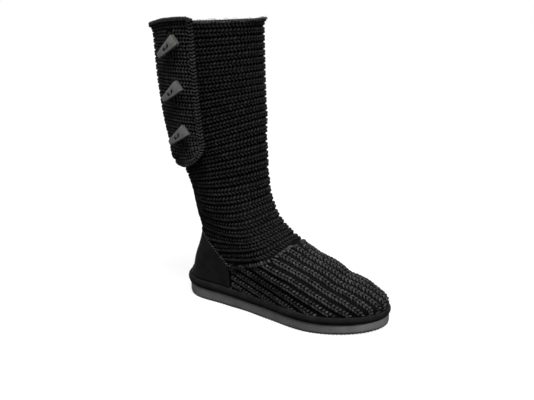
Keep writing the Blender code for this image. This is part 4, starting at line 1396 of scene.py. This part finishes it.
def horn_material():
    """Grey horn-like toggle with streaks along its length, a tan line near its wide end, and painted
    shade on its wide end face and in its holes.
    """
    material, tree, shader = make_shader("toggle_horn", (0.15, 0.15, 0.15), 0.38, 0.45)
    place = tree.nodes.new("ShaderNodeTexCoord")
    stretch = tree.nodes.new("ShaderNodeMapping")
    stretch.inputs["Scale"].default_value = (0.12, 1.0, 1.0)
    tree.links.new(place.outputs["Object"], stretch.inputs["Vector"])
    streaks = add_noise(tree, scale=900.0, detail=4.0, vector=stretch.outputs["Vector"])
    cloud = add_noise(tree, scale=90.0, detail=3.0)
    mixed = add_math(tree, "ADD", streaks, add_math(tree, "MULTIPLY", cloud, 0.7))
    stops = ((0.0, grey(0.17)), (0.55, grey(0.25)), (1.0, grey(0.36)))
    body = add_ramp(tree, add_range(tree, mixed, 0.5, 1.2), stops)
    split = tree.nodes.new("ShaderNodeSeparateXYZ")
    tree.links.new(place.outputs["Object"], split.inputs["Vector"])
    wide = TOGGLE_LENGTH / 2
    lean = add_math(tree, "MULTIPLY", split.outputs["Y"], 2 * TOGGLE_SLANT / TOGGLE_WIDE_END)
    along = add_math(tree, "ADD", split.outputs["X"], lean)
    offset = add_math(tree, "SUBTRACT", along, wide - TOGGLE_LINE_INSET)
    distance = add_math(tree, "ABSOLUTE", offset, 0.0)
    line = add_range(tree, distance, TOGGLE_LINE_WIDTH, 0.5 * TOGGLE_LINE_WIDTH)
    # The wide end face is painted dark grey: painted shade.
    end_face_shade = add_range(tree, along, wide - END_FACE_SHADE_FROM, wide - END_FACE_SHADE_FULL)
    dark = add_mix(tree, end_face_shade, body, END_FACE_SHADE)
    painted = add_mix(tree, line, dark, TAN)
    # Painted shade: a dark grey in and round each drilled hole.
    beside = add_math(tree, "ABSOLUTE", split.outputs["X"], 0.0)
    beside = add_math(tree, "SUBTRACT", beside, HOLE_SPACING / 2)
    beside = add_math(tree, "MULTIPLY", beside, beside)
    across = add_math(tree, "MULTIPLY", split.outputs["Y"], split.outputs["Y"])
    radius = add_math(tree, "POWER", add_math(tree, "ADD", beside, across), 0.5)
    hole = add_range(tree, radius, HOLE_SHADE_FROM, HOLE_SHADE_FULL)
    painted = add_mix(tree, hole, painted, grey(HOLE_SHADE_GREY))
    tree.links.new(painted, shader.inputs["Base Color"])
    tree.links.new(add_range(tree, streaks, 0.3, 0.7, 0.30, 0.48), shader.inputs["Roughness"])
    add_bump(tree, shader, ((streaks, 0.25, 0.0002),))
    return material


def shaft_base(material):
    """Ground of the leg: a ribbed tube with a real wall."""
    share, side = columns(*SHAFT_COLUMNS)
    seam = solve_height(seam_height, share, side) + SEAM_AIR
    rings = [form_offset(seam, turns_of(seam, share, side), -BASE_DEPTH)]
    for number in np.arange(RIB_COUNT, 1.0, -0.25):
        height = seam
        for _ in range(3):
            turns = turns_of(np.maximum(height, seam), share, side)
            height = rib_height(number, turns)
        held = height < seam + SEAM_HOLD
        if held.all():
            continue
        height = np.where(held, seam, height)
        turns = turns_of(height, share, side)
        wave = 0.5 + 0.5 * math.cos(2 * math.pi * number)
        depth = BASE_DEPTH + (VALLEY_DEPTH - BASE_DEPTH) * wave
        rings.append(form_offset(height, turns, np.where(held, -BASE_DEPTH, -depth)))
    top_turns = turns_of(np.full(len(share), COLLAR_HEIGHT), share, side)
    for level, offset in (
        (COLLAR_HEIGHT - 1.1 * RIB_PITCH, -VALLEY_DEPTH),
        (COLLAR_HEIGHT - 0.5 * RIB_PITCH, -BASE_DEPTH),
        (COLLAR_HEIGHT - COLLAR_INSET, -BASE_DEPTH),
        (COLLAR_HEIGHT - COLLAR_INSET, -SHAFT_WALL),
    ):
        rings.append(collar_place(level, top_turns, offset))
    for part in np.linspace(SHAFT_INNER_TOP, 0.0, SHAFT_INNER_RINGS):
        height = seam + (COLLAR_HEIGHT - seam) * part
        rings.append(form_offset(height, turns_of(height, share, side), -SHAFT_WALL))
    quads = grid_quads(len(rings), len(share), wrap=True, close=True)
    piece = make_mesh("shaft_ground", rings, quads, material)
    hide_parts("shaft")


def foot_base(material):
    """Ground of the foot: a smooth hollow wall under the ribs."""
    share, side = columns(*FOOT_COLUMNS)
    bottom = wall_foot(share, side)
    top = solve_height(seam_height, share, side)
    rings = []
    for part in np.linspace(0.0, 1.0, FOOT_OUTER_RINGS):
        height = bottom + (top - bottom) * part
        turns = turns_of(height, share, side)
        x = form_place(height, turns)[:, 0]
        low = smooth_step((rim_top(x) - height) / RIM_COVER + 0.5)
        rings.append(form_offset(height, turns, -BASE_DEPTH * (1.0 - low)))
    for part in np.linspace(1.0, 0.0, FOOT_INNER_RINGS):
        height = bottom + (top - bottom) * part
        rings.append(form_offset(height, turns_of(height, share, side), -FOOT_WALL))
    rings[-1][:, 2] = rings[0][:, 2]
    quads = grid_quads(len(rings), len(share), wrap=True, close=True)
    piece = make_mesh("foot_ground", rings, quads, material)
    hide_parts("upper")


def panel_mesh(outer, inner, present):
    """Return the places and faces of a closed panel from two grids, without absent cells."""
    rows, cells = present.shape
    width = cells + 1
    shift = (rows + 1) * width
    quads = []

    def corner(i, j):
        return i * width + j

    for i in range(rows):
        for j in range(cells):
            if not present[i, j]:
                continue
            ring = ((i, j), (i, j + 1), (i + 1, j + 1), (i + 1, j))
            face = [corner(*at) for at in ring]
            quads.append(face)
            quads.append([at + shift for at in reversed(face)])
            beside = ((i - 1, j), (i, j + 1), (i + 1, j), (i, j - 1))
            for number, (a, b) in enumerate(beside):
                if 0 <= a < rows and 0 <= b < cells and present[a, b]:
                    continue
                start, end = face[number], face[(number + 1) % 4]
                quads.append([start, start + shift, end + shift, end])
    places = np.concatenate([np.asarray(outer).reshape(-1, 3), np.asarray(inner).reshape(-1, 3)])
    return places, [face[::-1] for face in quads]


def flap_base(material):
    """Ground of the flap: a curved panel with real buttonholes."""
    slot = turn_step(SLOT_WIDTH / 2, FLAP_HEAD - FLAP_LENGTH / 2, BUTTON)
    rear_turns = np.linspace(REAR, BUTTON - slot, FLAP_REAR_COLUMNS)
    front_turns = np.linspace(BUTTON + slot, FRONT, FLAP_FRONT_COLUMNS)
    turns = np.concatenate([rear_turns, front_turns])
    stops = [0.0]
    for height in button_heights():
        stops += [FLAP_HEAD - height - SLOT_LENGTH / 2, FLAP_HEAD - height + SLOT_LENGTH / 2]
    stops.append(FLAP_LENGTH)
    drops = [0.0]
    open_rows = []
    for number, (start, end) in enumerate(zip(stops, stops[1:])):
        steps = max(int((end - start) / (RIB_PITCH / 4)), 2)
        if number % 2 == 1:
            open_rows += range(len(drops) - 1, len(drops) - 1 + steps)
        drops += list(np.linspace(start, end, steps + 1)[1:])
    heights = [flap_levels(drop / FLAP_LENGTH, turns) for drop in drops]
    outer = [flap_place(height, turns, FLAP_THICKNESS - BASE_DEPTH) for height in heights]
    inner = [flap_place(height, turns, 0.0) for height in heights]
    present = np.ones((len(drops) - 1, len(turns) - 1), bool)
    present[open_rows, len(rear_turns) - 1] = False
    places, quads = panel_mesh(outer, inner, present)
    piece = make_mesh("flap_ground", places, quads, material)
    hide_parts("button_flap")


def edge_line(places, normals):
    """Return a function of run, across and depth beside a line of places, and its length."""
    apart = np.linalg.norm(np.diff(places, axis=0), axis=-1) > SMALLEST_STEP
    kept = np.concatenate([[True], apart])
    places = places[kept]
    normals = unit(normals[kept])
    run = running_length(places)
    beside = unit(np.cross(np.gradient(places, run, axis=0), normals))

    def read(table, at):
        return np.stack([np.interp(at, run, table[:, i]) for i in range(3)], axis=-1)

    def place(at, across, depth):
        at, across, depth = np.broadcast_arrays(at, across, depth)
        base = read(places, at)
        return base + read(beside, at) * across[..., None] + read(normals, at) * depth[..., None]

    return place, run[-1]


def braid(leaves, place, length, width, pitch, tone):
    """Lay an overlocked edge: two columns of leaves that slant towards each other."""
    starts = even_steps(length, pitch)[:, None]
    shape = (len(starts), 3)
    for low, high, slant in (
        (BRAID_START, BRAID_SHARE * width, BRAID_SLANT),
        ((1.0 - BRAID_SHARE) * width, width, -BRAID_SLANT),
    ):
        along = starts + np.linspace(-0.5, 0.5, 3) * slant
        along = along + leaves.random.normal(0.0, RUN_SPREAD, shape)
        across = np.linspace(low, high, 3) + leaves.random.normal(0.0, BRAID_SPREAD, shape)
        leaves.lay(place, along, across, BRAID_DEPTH, BRAID_FILL * pitch, BRAID_THICKNESS, tone)


def wrap_edge(leaves, place, length, wall, pitch, tone):
    """Lay loops over an edge, from the outer face across the top to the inner face."""
    starts = even_steps(length, pitch)[:, None]
    shape = (len(starts), 3)
    along = starts + WRAP_RUN + leaves.random.normal(0.0, BAR_SPREAD, shape)
    across = WRAP_ACROSS + leaves.random.normal(0.0, RUN_SPREAD, shape)
    depth = np.array([WRAP_OUT, -0.5 * wall, -wall - WRAP_IN])
    controls = place(along, across, depth)
    outward = place(along[:, 1], across[:, 1] - 2 * HEIGHT_STEP, depth[1]) - controls[:, 1]
    leaves.add(controls, outward, WRAP_FILL * pitch, WRAP_THICKNESS, tone)


def flap_line(heights, turns):
    """Return the line along an edge of the flap for its stitches."""
    surface = FLAP_THICKNESS - EDGE_SINK
    line = flap_place(heights, turns, surface)
    return edge_line(line, flap_place(heights, turns, surface + 2 * HEIGHT_STEP) - line)


def flap_edges(material):
    """Overlocked edges of the flap and the raised rims of its buttonholes."""
    leaves = Leaves(seed=50)
    down = np.linspace(FLAP_HEAD, float(flap_bottom(FRONT)), FLAP_FRONT_PLACES)
    back = np.linspace(FRONT, REAR, FLAP_FOOT_PLACES)[1:]
    heights = np.concatenate([down, flap_bottom(back)])
    place, length = flap_line(heights, np.concatenate([np.full(len(down), FRONT), back]))
    braid(leaves, place, length, FLAP_BRAID, FLAP_BRAID_PITCH, tone=0.3)
    place, length = flap_line(FLAP_HEAD, np.linspace(REAR, FRONT, FLAP_TOP_PLACES))
    braid(leaves, place, length, TOP_BRAID, TOP_BRAID_PITCH, tone=0.2)
    wrap_edge(leaves, place, length, FLAP_THICKNESS, EDGE_PITCH, tone=0.2)
    angle = np.linspace(0.0, 2 * math.pi, SLOT_PLACES)
    wide, tall = (np.sign(part) * np.abs(part) ** 0.5 for part in (np.cos(angle), np.sin(angle)))
    half_width = turn_step(SLOT_WIDTH / 2 + SLOT_WIDER, FLAP_HEAD - FLAP_LENGTH / 2, BUTTON)
    for height in button_heights():
        level = height + (SLOT_LENGTH / 2 + SLOT_LONGER) * tall
        place, length = flap_line(level, BUTTON + half_width * wide)
        run = even_steps(length, SLOT_PITCH)[:, None] + SLOT_RUN
        size = (SLOT_PITCH, SLOT_LEAF_THICKNESS)
        leaves.lay(place, run, SLOT_ACROSS, SLOT_DEPTH, *size, tone=0.5)
    leaves.mesh("flap_edges", material, "knit")


def collar_place(height, turn, depth):
    """Return a place near the collar, which flares a little and rises and falls."""
    height, turn, depth = np.broadcast_arrays(height, turn, depth)
    near = smooth_step((height - COLLAR_HEIGHT) / RIB_PITCH + 1.0)
    edge = through(np.degrees(turn) % 360.0, COLLAR_RISES[:, 0], COLLAR_RISES[:, 1:])
    out = (COLLAR_FLARE_SHARE * COLLAR_FLARE + edge[..., 1]) * near
    place = form_ring(np.minimum(height, COLLAR_HEIGHT), turn, out + depth)
    place[..., 2] += edge[..., 0] * near
    return place


def collar(material, pale):
    """The flat top row of the leg, the looped edge of its collar and a few loose hairs."""
    leaves = Leaves(seed=60)
    level = (COLLAR_HEIGHT + rib_height(1.0, ROUND)) / 2
    run, starts = rib_runs(collar_place(level, ROUND, 0.0))
    turns = np.interp(starts, run, ROUND)
    centre = np.interp(turns, ROUND, level)
    shown = ~under_flap(centre, turns, COLLAR_UNDER_FLAP)
    half = (COLLAR_HEIGHT - centre)[shown, None] * ROW_FILL

    def place(at, across, depth):
        turn = np.interp(np.mod(at, run[-1]), run, ROUND)
        height = np.interp(turn, ROUND, level) + across
        return collar_place(height, turn, depth - 2 * SHAFT_SINK)

    stitch_rows(leaves, place, starts[shown], half)
    leaves.mesh("collar_stitches", material, "knit")
    loops = Leaves(seed=61)
    line = collar_place(COLLAR_HEIGHT - SHAFT_SINK, ROUND, 0.0)
    outward = collar_place(COLLAR_HEIGHT - SHAFT_SINK, ROUND, 2 * HEIGHT_STEP) - line
    edge, length = edge_line(line, outward)
    # The looped edge and the hairs use the pale yarn: painted highlight where light catches the collar's
    # edge and its loose fibres
    wrap_edge(loops, edge, length, SHAFT_WALL, COLLAR_PITCH, tone=-0.1)
    loops.mesh("collar_edge", pale, "knit")
    hairs = Leaves(seed=62)
    random = hairs.random
    start = random.uniform(0.0, length, HAIR_COUNT)[:, None]
    reach = random.uniform(*HAIR_REACH, HAIR_COUNT)[:, None] * np.array([0.0, 0.5, 1.0])
    rise = random.uniform(*HAIR_RISE, HAIR_COUNT)[:, None] * np.array([0.0, 1.0, 0.6])
    sway = random.normal(0.0, HAIR_SWAY, (HAIR_COUNT, 3)) - 0.5 * SHAFT_WALL
    controls = edge(start + reach, -rise, sway)
    outward = np.cross(controls[:, 2] - controls[:, 0], controls[:, 1] - controls[:, 0])
    hairs.add(controls, outward, HAIR_THICKNESS, HAIR_THICKNESS, tone=0.6)
    hairs.mesh("collar_hairs", pale, "knit")


def heel_counter(material):
    """Smooth suede overlay round the heel, with softly rolled edges."""
    front = 1.0 - np.arange(COUNTER_COLUMNS + 1) / COUNTER_COLUMNS
    share = np.concatenate([front, front[-2::-1]])
    side = np.concatenate([np.ones(len(front)), -np.ones(len(front) - 1)])
    edge = share == 1.0
    bottom = solve_height(rim_top, share, side) + STEP_RUN / 2 + CLEARANCE
    seam = solve_height(seam_height, share, side)
    top = np.where(edge, seam + STEP_RUN * COUNTER_SLOPE, seam)
    outer = []
    inner = []
    for part in np.linspace(0.0, 1.0, COUNTER_RINGS):
        height = bottom + (top - bottom) * part
        stepped = turn_at(height, COUNTER_CORNER - STEP_RUN - CLEARANCE)
        turns = on_side(np.where(edge, stepped, turns_of(height, share, 1.0)), side)
        from_edge = np.minimum((1.0 - share) * COUNTER_CORNER, top - height)
        roll = COUNTER_ROLL * smooth_step(1.0 - from_edge / COUNTER_ROLL_REACH)
        outer.append(form_ring(height, turns, COUNTER_PROUD - roll))
        inner.append(form_ring(height, turns, COUNTER_PROUD - COUNTER_THICKNESS))
    present = np.ones((COUNTER_RINGS - 1, len(share) - 1), bool)
    places, quads = panel_mesh(outer, inner, present)
    piece = make_mesh("counter_suede", places, quads, material)
    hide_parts("heel_counter")


def rim(material):
    """Suede-covered rim that wraps the foot above the sole."""
    share, side = columns(*RIM_COLUMNS)
    foot = wall_foot(share, side)
    head = solve_height(rim_top, share, side)
    profile = (
        # share of the height, offset
        (0.00, SOLE_EDGE + CLEARANCE),
        (0.10, 0.40 * SOLE_EDGE + 0.60 * RIM_BULGE),
        (0.24, 0.88 * RIM_BULGE),
        (0.42, 1.00 * RIM_BULGE),
        (0.58, 0.99 * RIM_BULGE),
        (0.72, 0.90 * RIM_BULGE),
        (0.84, 0.72 * RIM_BULGE),
        (0.93, 0.50 * RIM_BULGE),
        (0.98, 0.32 * RIM_BULGE),
        (1.00, 0.20 * RIM_BULGE),
        (0.94, CLEARANCE),
        (0.00, CLEARANCE),
    )
    rings = []
    for part, offset in profile:
        height = foot + (head - foot) * part
        rings.append(form_ring(height, turns_of(height, share, side), offset))
    quads = grid_quads(len(rings), len(share), wrap=True, close=True)
    piece = make_mesh("rim_suede", rings, quads, material)
    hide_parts("rim_band")


def seam_threads(material):
    """Fine stitch lines along the rim's top and beside the counter's edges."""
    leaves = Leaves(seed=70)
    share, side = columns(*RIM_THREAD_COLUMNS)
    foot = wall_foot(share, side)
    height = foot + (solve_height(rim_top, share, side) - foot) * RIM_THREAD_LEVEL
    turns = turns_of(height, share, side)
    height, turns = (np.concatenate([part, part[:1]]) for part in (height, turns))
    line = form_ring(height, turns, RIM_THREAD_OUT * RIM_BULGE)
    lay_stitches(leaves, line, form_normal(height, turns), RIM_THREAD_WIDTH)
    corner = COUNTER_CORNER - COUNTER_THREAD_BACK
    x = np.linspace(corner, COUNTER_THREAD_END, THREAD_SLOPE_PLACES)
    level = seam_height(x) - COUNTER_THREAD_DROP
    lowest = rim_top(COUNTER_CORNER) + COUNTER_THREAD_LIFT
    rise = np.linspace(lowest, level[0], THREAD_FRONT_PLACES)[:-1]
    levels = np.concatenate([rise, level])
    outer_turns = turn_at(levels, np.concatenate([np.full(len(rise), corner), x]))
    for direction in (1, -1):
        turns = on_side(outer_turns, direction)
        line = form_ring(levels, turns, COUNTER_PROUD)
        lay_stitches(leaves, line, form_normal(levels, turns), COUNTER_THREAD_WIDTH)
    leaves.mesh("seam_threads", material, "thread")


def lay_stitches(leaves, line, normals, width):
    """Lay short straight stitches along a line."""
    place, length = edge_line(line, normals)
    run = even_steps(length, THREAD_PITCH)[:, None] + np.linspace(-0.5, 0.5, 3) * THREAD_STITCH
    leaves.lay(place, run, 0.0, THREAD_DEPTH * width, width, width)


def toggle_outline(count):
    """Return the outline of a tapered toggle from its wide end round, with rounded corners."""
    half_length = TOGGLE_LENGTH / 2
    lower = []
    for share in np.linspace(0.0, 1.0, count):
        half = TOGGLE_NARROW_END / 2 + (TOGGLE_WIDE_END - TOGGLE_NARROW_END) / 2 * share**TOGGLE_TAPER
        lower.append((-half_length + TOGGLE_LENGTH * share - TOGGLE_SLANT * share, half))
    upper_side = [(x + 2 * TOGGLE_SLANT * (x + half_length) / TOGGLE_LENGTH, -y) for x, y in lower]
    return np.array(lower + upper_side[::-1])


def side_faces(count):
    """Return the faces between a ring of places and the next ring above it."""
    return [(i, (i + 1) % count, (i + 1) % count + count, i + count) for i in range(count)]


def add_prism(name, outline, low, high, frame):
    """Return an object between two levels over an outline."""
    count = len(outline)
    mesh = bpy.data.meshes.new(name)
    places = [(x, y, level) for level in (low, high) for x, y in outline]
    ends = [tuple(range(count))[::-1], tuple(range(count, 2 * count))]
    mesh.from_pydata(places, [], side_faces(count) + ends)
    piece = bpy.data.objects.new(name, mesh)
    bpy.context.scene.collection.objects.link(piece)
    piece.matrix_world = frame
    return piece


def toggle(number, frame, material):
    """Flat tapered toggle with two drilled holes and softened edges."""
    low = 2 * CLEARANCE + THREAD_THICKNESS
    high = low + TOGGLE_THICKNESS
    name = f"toggle_horn_{number}"
    piece = add_prism(name, toggle_outline(OUTLINE_COUNT), low, high, frame)
    piece.data.materials.append(material)
    angles = np.arange(DRILL_SIDES) * 2 * math.pi / DRILL_SIDES
    circle = [(DRILL_RADIUS * math.cos(angle), DRILL_RADIUS * math.sin(angle)) for angle in angles]
    for shift in (-HOLE_SPACING / 2, HOLE_SPACING / 2):
        ring = [(x + shift, y) for x, y in circle]
        cutter = add_prism(f"{name}_drill", ring, low - TOGGLE_THICKNESS, high + TOGGLE_THICKNESS, frame)
        cut = piece.modifiers.new("hole", "BOOLEAN")
        cut.operation = "DIFFERENCE"
        cut.solver = "EXACT"
        cut.object = cutter
        apply_modifiers(piece)
        bpy.data.objects.remove(cutter, do_unlink=True)
    bevel = piece.modifiers.new("soft", "BEVEL")
    bevel.width = TOGGLE_ROUNDING
    bevel.segments = 3
    bevel.angle_limit = ROUNDING_ANGLE
    apply_modifiers(piece)
    piece.data.shade_smooth()
    piece.data.set_sharp_from_angle(angle=SHARP_ANGLE)
    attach(piece, "root")
    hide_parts(f"toggle_{number}")


def apply_modifiers(piece):
    """Turn a piece's modifiers into its mesh."""
    graph = bpy.context.evaluated_depsgraph_get()
    mesh = bpy.data.meshes.new_from_object(piece.evaluated_get(graph))
    old = piece.data
    piece.modifiers.clear()
    piece.data = mesh
    bpy.data.meshes.remove(old)


def toggle_thread(number, frame, shaft_depth, material):
    """Two strands that run through both holes and the buttonhole to the shaft."""
    half = THREAD_THICKNESS / 2
    leg = HOLE_SPACING / 2 - LEG_INSET
    top = 3 * CLEARANCE + THREAD_THICKNESS + TOGGLE_THICKNESS + half
    under = CLEARANCE + half
    bend = [(leg, under)] + [(leg - inward, top - down) for inward, down in STRAND_BEND]
    back = (leg - STRAND_RETURN, under - STRAND_SAG)
    route = [(-x, z) for x, z in bend] + bend[::-1]
    route += [back, (0.0, under - STRAND_SAG / 2), (-back[0], back[1]), (-leg, under)]
    stem = [(0.0, under), (0.0, (under + shaft_depth) / 2), (0.0, shaft_depth + CLEARANCE)]
    angle = (np.arange(STRAND_SIDES) * 2 * math.pi / STRAND_SIDES)[:, None]
    side = np.array([0.0, 1.0, 0.0])
    tube = tube_quads(STRAND_SECTIONS, STRAND_SIDES)
    places, quads, uv = [], [], []
    for points, sign in ((route, -1), (route, 1), (stem, -1), (stem, 1)):
        points = np.array([(x, sign * STRAND_SHARE * THREAD_THICKNESS, z) for x, z in points])
        run = running_length(points)
        at = np.linspace(0.0, run[-1], STRAND_SECTIONS)
        line = np.stack([np.interp(at, run, points[:, i]) for i in range(3)], axis=-1)
        out = np.cross(side, unit(np.gradient(line, axis=0)))
        ring = side * np.cos(angle) + out[:, None] * np.sin(angle)
        quads.append(tube + len(places) * STRAND_SECTIONS * STRAND_SIDES)
        places.append(line[:, None] + ring * STRAND_SHARE * THREAD_THICKNESS)
        around = tube % STRAND_SIDES / STRAND_SIDES
        uv.append(np.stack([at[tube // STRAND_SIDES] / THREAD_THICKNESS, around], axis=-1))
    places = np.concatenate(places).reshape(-1, 3)
    # Painted shade on the thread where it runs through the holes and under the toggle.
    tone = np.where(places[:, 2] < top - half, HOLE_THREAD_SHADE, BAR_THREAD_TONE)
    matrix = np.array(frame)
    places = places @ matrix[:3, :3].T + matrix[:3, 3]
    quads, uv = np.concatenate(quads), np.concatenate(uv)
    piece = make_mesh(f"toggle_cord_{number}", places, quads, material, uv, tone)
    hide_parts(f"toggle_thread_{number}")


def insole_pile(material):
    """Soft insole that swells a little towards its middle."""
    share, side = columns(*INSOLE_COLUMNS)
    rings = []
    for level, inset in (
        (CLEARANCE, 0.0),
        (INSOLE_EDGE * INSOLE_THICKNESS, 0.0),
        (INSOLE_THICKNESS, INSOLE_INSET),
    ):
        height = wall_foot(share, side, level)
        turns = turns_of(height, share, side)
        rings.append(form_ring(height, turns, -FOOT_WALL - 2 * CLEARANCE - inset))
    top = rings[-1]
    middle = (top + np.roll(top[::-1], 1, axis=0)) / 2
    for part in np.linspace(1.0 - 1.0 / INSOLE_RINGS, 0.0, INSOLE_RINGS):
        ring = middle + (top - middle) * part
        ring[:, 2] = top[:, 2] + INSOLE_SWELL * (1.0 - part**2)
        rings.append(ring)
    low = rings[0]
    rings.insert(0, (low + np.roll(low[::-1], 1, axis=0)) / 2)
    quads = grid_quads(len(rings), len(share), wrap=True)
    piece = make_mesh("insole_pile", rings, quads, material)
    weld(piece)
    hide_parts("insole")


def weld(piece):
    """Join places of a mesh that fall together."""
    mesh = bmesh.new()
    mesh.from_mesh(piece.data)
    bmesh.ops.remove_doubles(mesh, verts=mesh.verts, dist=SMALLEST_STEP)
    mesh.to_mesh(piece.data)
    mesh.free()


def make_camera():
    """Camera at the photograph's viewing angle."""
    azimuth, elevation = math.radians(CAMERA_AZIMUTH), math.radians(CAMERA_ELEVATION)
    level = math.cos(elevation)
    back = Vector((math.sin(azimuth) * level, -math.cos(azimuth) * level, math.sin(elevation)))
    right = (-back).cross(Vector((0.0, 0.0, 1.0))).normalized()
    up = right.cross(-back)
    roll = math.radians(CAMERA_ROLL)
    rolled_right = right * math.cos(roll) + up * math.sin(roll)
    rolled_up = up * math.cos(roll) - right * math.sin(roll)
    data = bpy.data.cameras.new("camera")
    data.sensor_width = SENSOR_WIDTH
    data.lens = CAMERA_FOCAL_PIXELS * SENSOR_WIDTH / FRAME_WIDTH
    camera = bpy.data.objects.new("camera", data)
    camera.matrix_world = Matrix((rolled_right, rolled_up, back)).transposed().to_4x4()
    camera.location = Vector(CAMERA_TARGET) + back * CAMERA_DISTANCE
    bpy.context.scene.collection.objects.link(camera)
    bpy.context.scene.camera = camera


def make_sun(name, direction, spread, strength):
    """Broad soft light from a direction, like a large panel far away."""
    data = bpy.data.lights.new(name, "SUN")
    data.angle = math.radians(spread)
    data.energy = strength
    light = bpy.data.objects.new(name, data)
    light.rotation_euler = Vector(direction).to_track_quat("Z", "Y").to_euler()
    bpy.context.scene.collection.objects.link(light)


def stage_piece(name, places, faces, glow, diffuse):
    """Add a part of the stage that glows evenly and sends no light back to the boot."""
    material, _, shader = make_shader(name, (diffuse, diffuse, diffuse), 1.0, 0.0)
    shader.inputs["Emission Color"].default_value = (1.0, 1.0, 1.0, 1.0)
    shader.inputs["Emission Strength"].default_value = glow
    mesh = bpy.data.meshes.new(name)
    mesh.from_pydata(places, [], faces)
    mesh.materials.append(material)
    piece = bpy.data.objects.new(name, mesh)
    bpy.context.scene.collection.objects.link(piece)
    piece.visible_diffuse = False
    piece.visible_glossy = False
    return piece


def make_stage():
    """Pale floor, white backdrop all round and soft light from above."""
    count = STAGE_SIDES
    ring = [2 * math.pi * i / count for i in range(count)]
    floor = [(STAGE_RADIUS * math.cos(a), STAGE_RADIUS * math.sin(a), 0.0) for a in ring]
    stage_piece("floor", floor, [tuple(range(count))], FLOOR_GLOW, FLOOR_DIFFUSE)
    wall = floor + [(x, y, STAGE_RADIUS) for x, y, _ in floor]
    faces = side_faces(count) + [tuple(range(count, 2 * count))]
    backdrop = stage_piece("backdrop", wall, faces, 1.0, 0.0)
    backdrop.visible_shadow = False
    world = bpy.data.worlds.new("world")
    world.use_nodes = True
    surround = world.node_tree.nodes["Background"]
    surround.inputs["Color"].default_value = (1.0, 1.0, 1.0, 1.0)
    surround.inputs["Strength"].default_value = AMBIENT
    bpy.context.scene.world = world
    bpy.context.scene.view_settings.view_transform = "Standard"
    for lamp in SUNS:
        make_sun(*lamp)


def main():
    """Build the scene."""
    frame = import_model()
    make_camera()
    make_stage()
    # The foot's and flap's yarns are lighter copies of the one black yarn: painted light where more
    # light falls on them
    yarn = yarn_material("black_yarn", dark=0.0030, light=0.042)
    foot_yarn_painted_light = yarn_material("foot_yarn_painted_light", dark=0.0016, light=0.088)
    flap_yarn_painted_light = yarn_material("flap_yarn_painted_light", dark=0.0060, light=0.072)
    # A pale copy of the black yarn: painted highlight for the collar's looped edge and hairs
    pale = yarn_material("collar_highlight_yarn", dark=0.020, light=0.120)
    shaded_ground = shaded_ground_material()
    suede = suede_material("suede", dark=0.0065, light=0.0165)
    rim_suede = suede_material("rim_suede", dark=0.0052, light=0.0140, patch=110.0)
    horn = horn_material()
    thread = yarn_material("toggle_thread", dark=0.010, light=0.240)
    seam_thread = yarn_material("seam_thread", dark=0.016, light=0.060)
    shaft_base(shaded_ground)
    foot_base(shaded_ground)
    flap_base(shaded_ground)
    knit_shaft(yarn)
    knit_foot(foot_yarn_painted_light)
    instep_edge(foot_yarn_painted_light)
    knit_flap(flap_yarn_painted_light)
    flap_edges(flap_yarn_painted_light)
    collar(flap_yarn_painted_light, pale)
    heel_counter(suede)
    rim(rim_suede)
    seam_threads(seam_thread)
    insole_pile(fleece_material())
    for number, height in enumerate(button_heights(), start=1):
        place, shaft_depth = button_frame(height)
        toggle(number, place, horn)
        toggle_thread(number, place, shaft_depth, thread)
    outsole = frame["nodes"]["outsole"]
    outsole.data.materials.clear()
    outsole.data.materials.append(foam_material())


main()
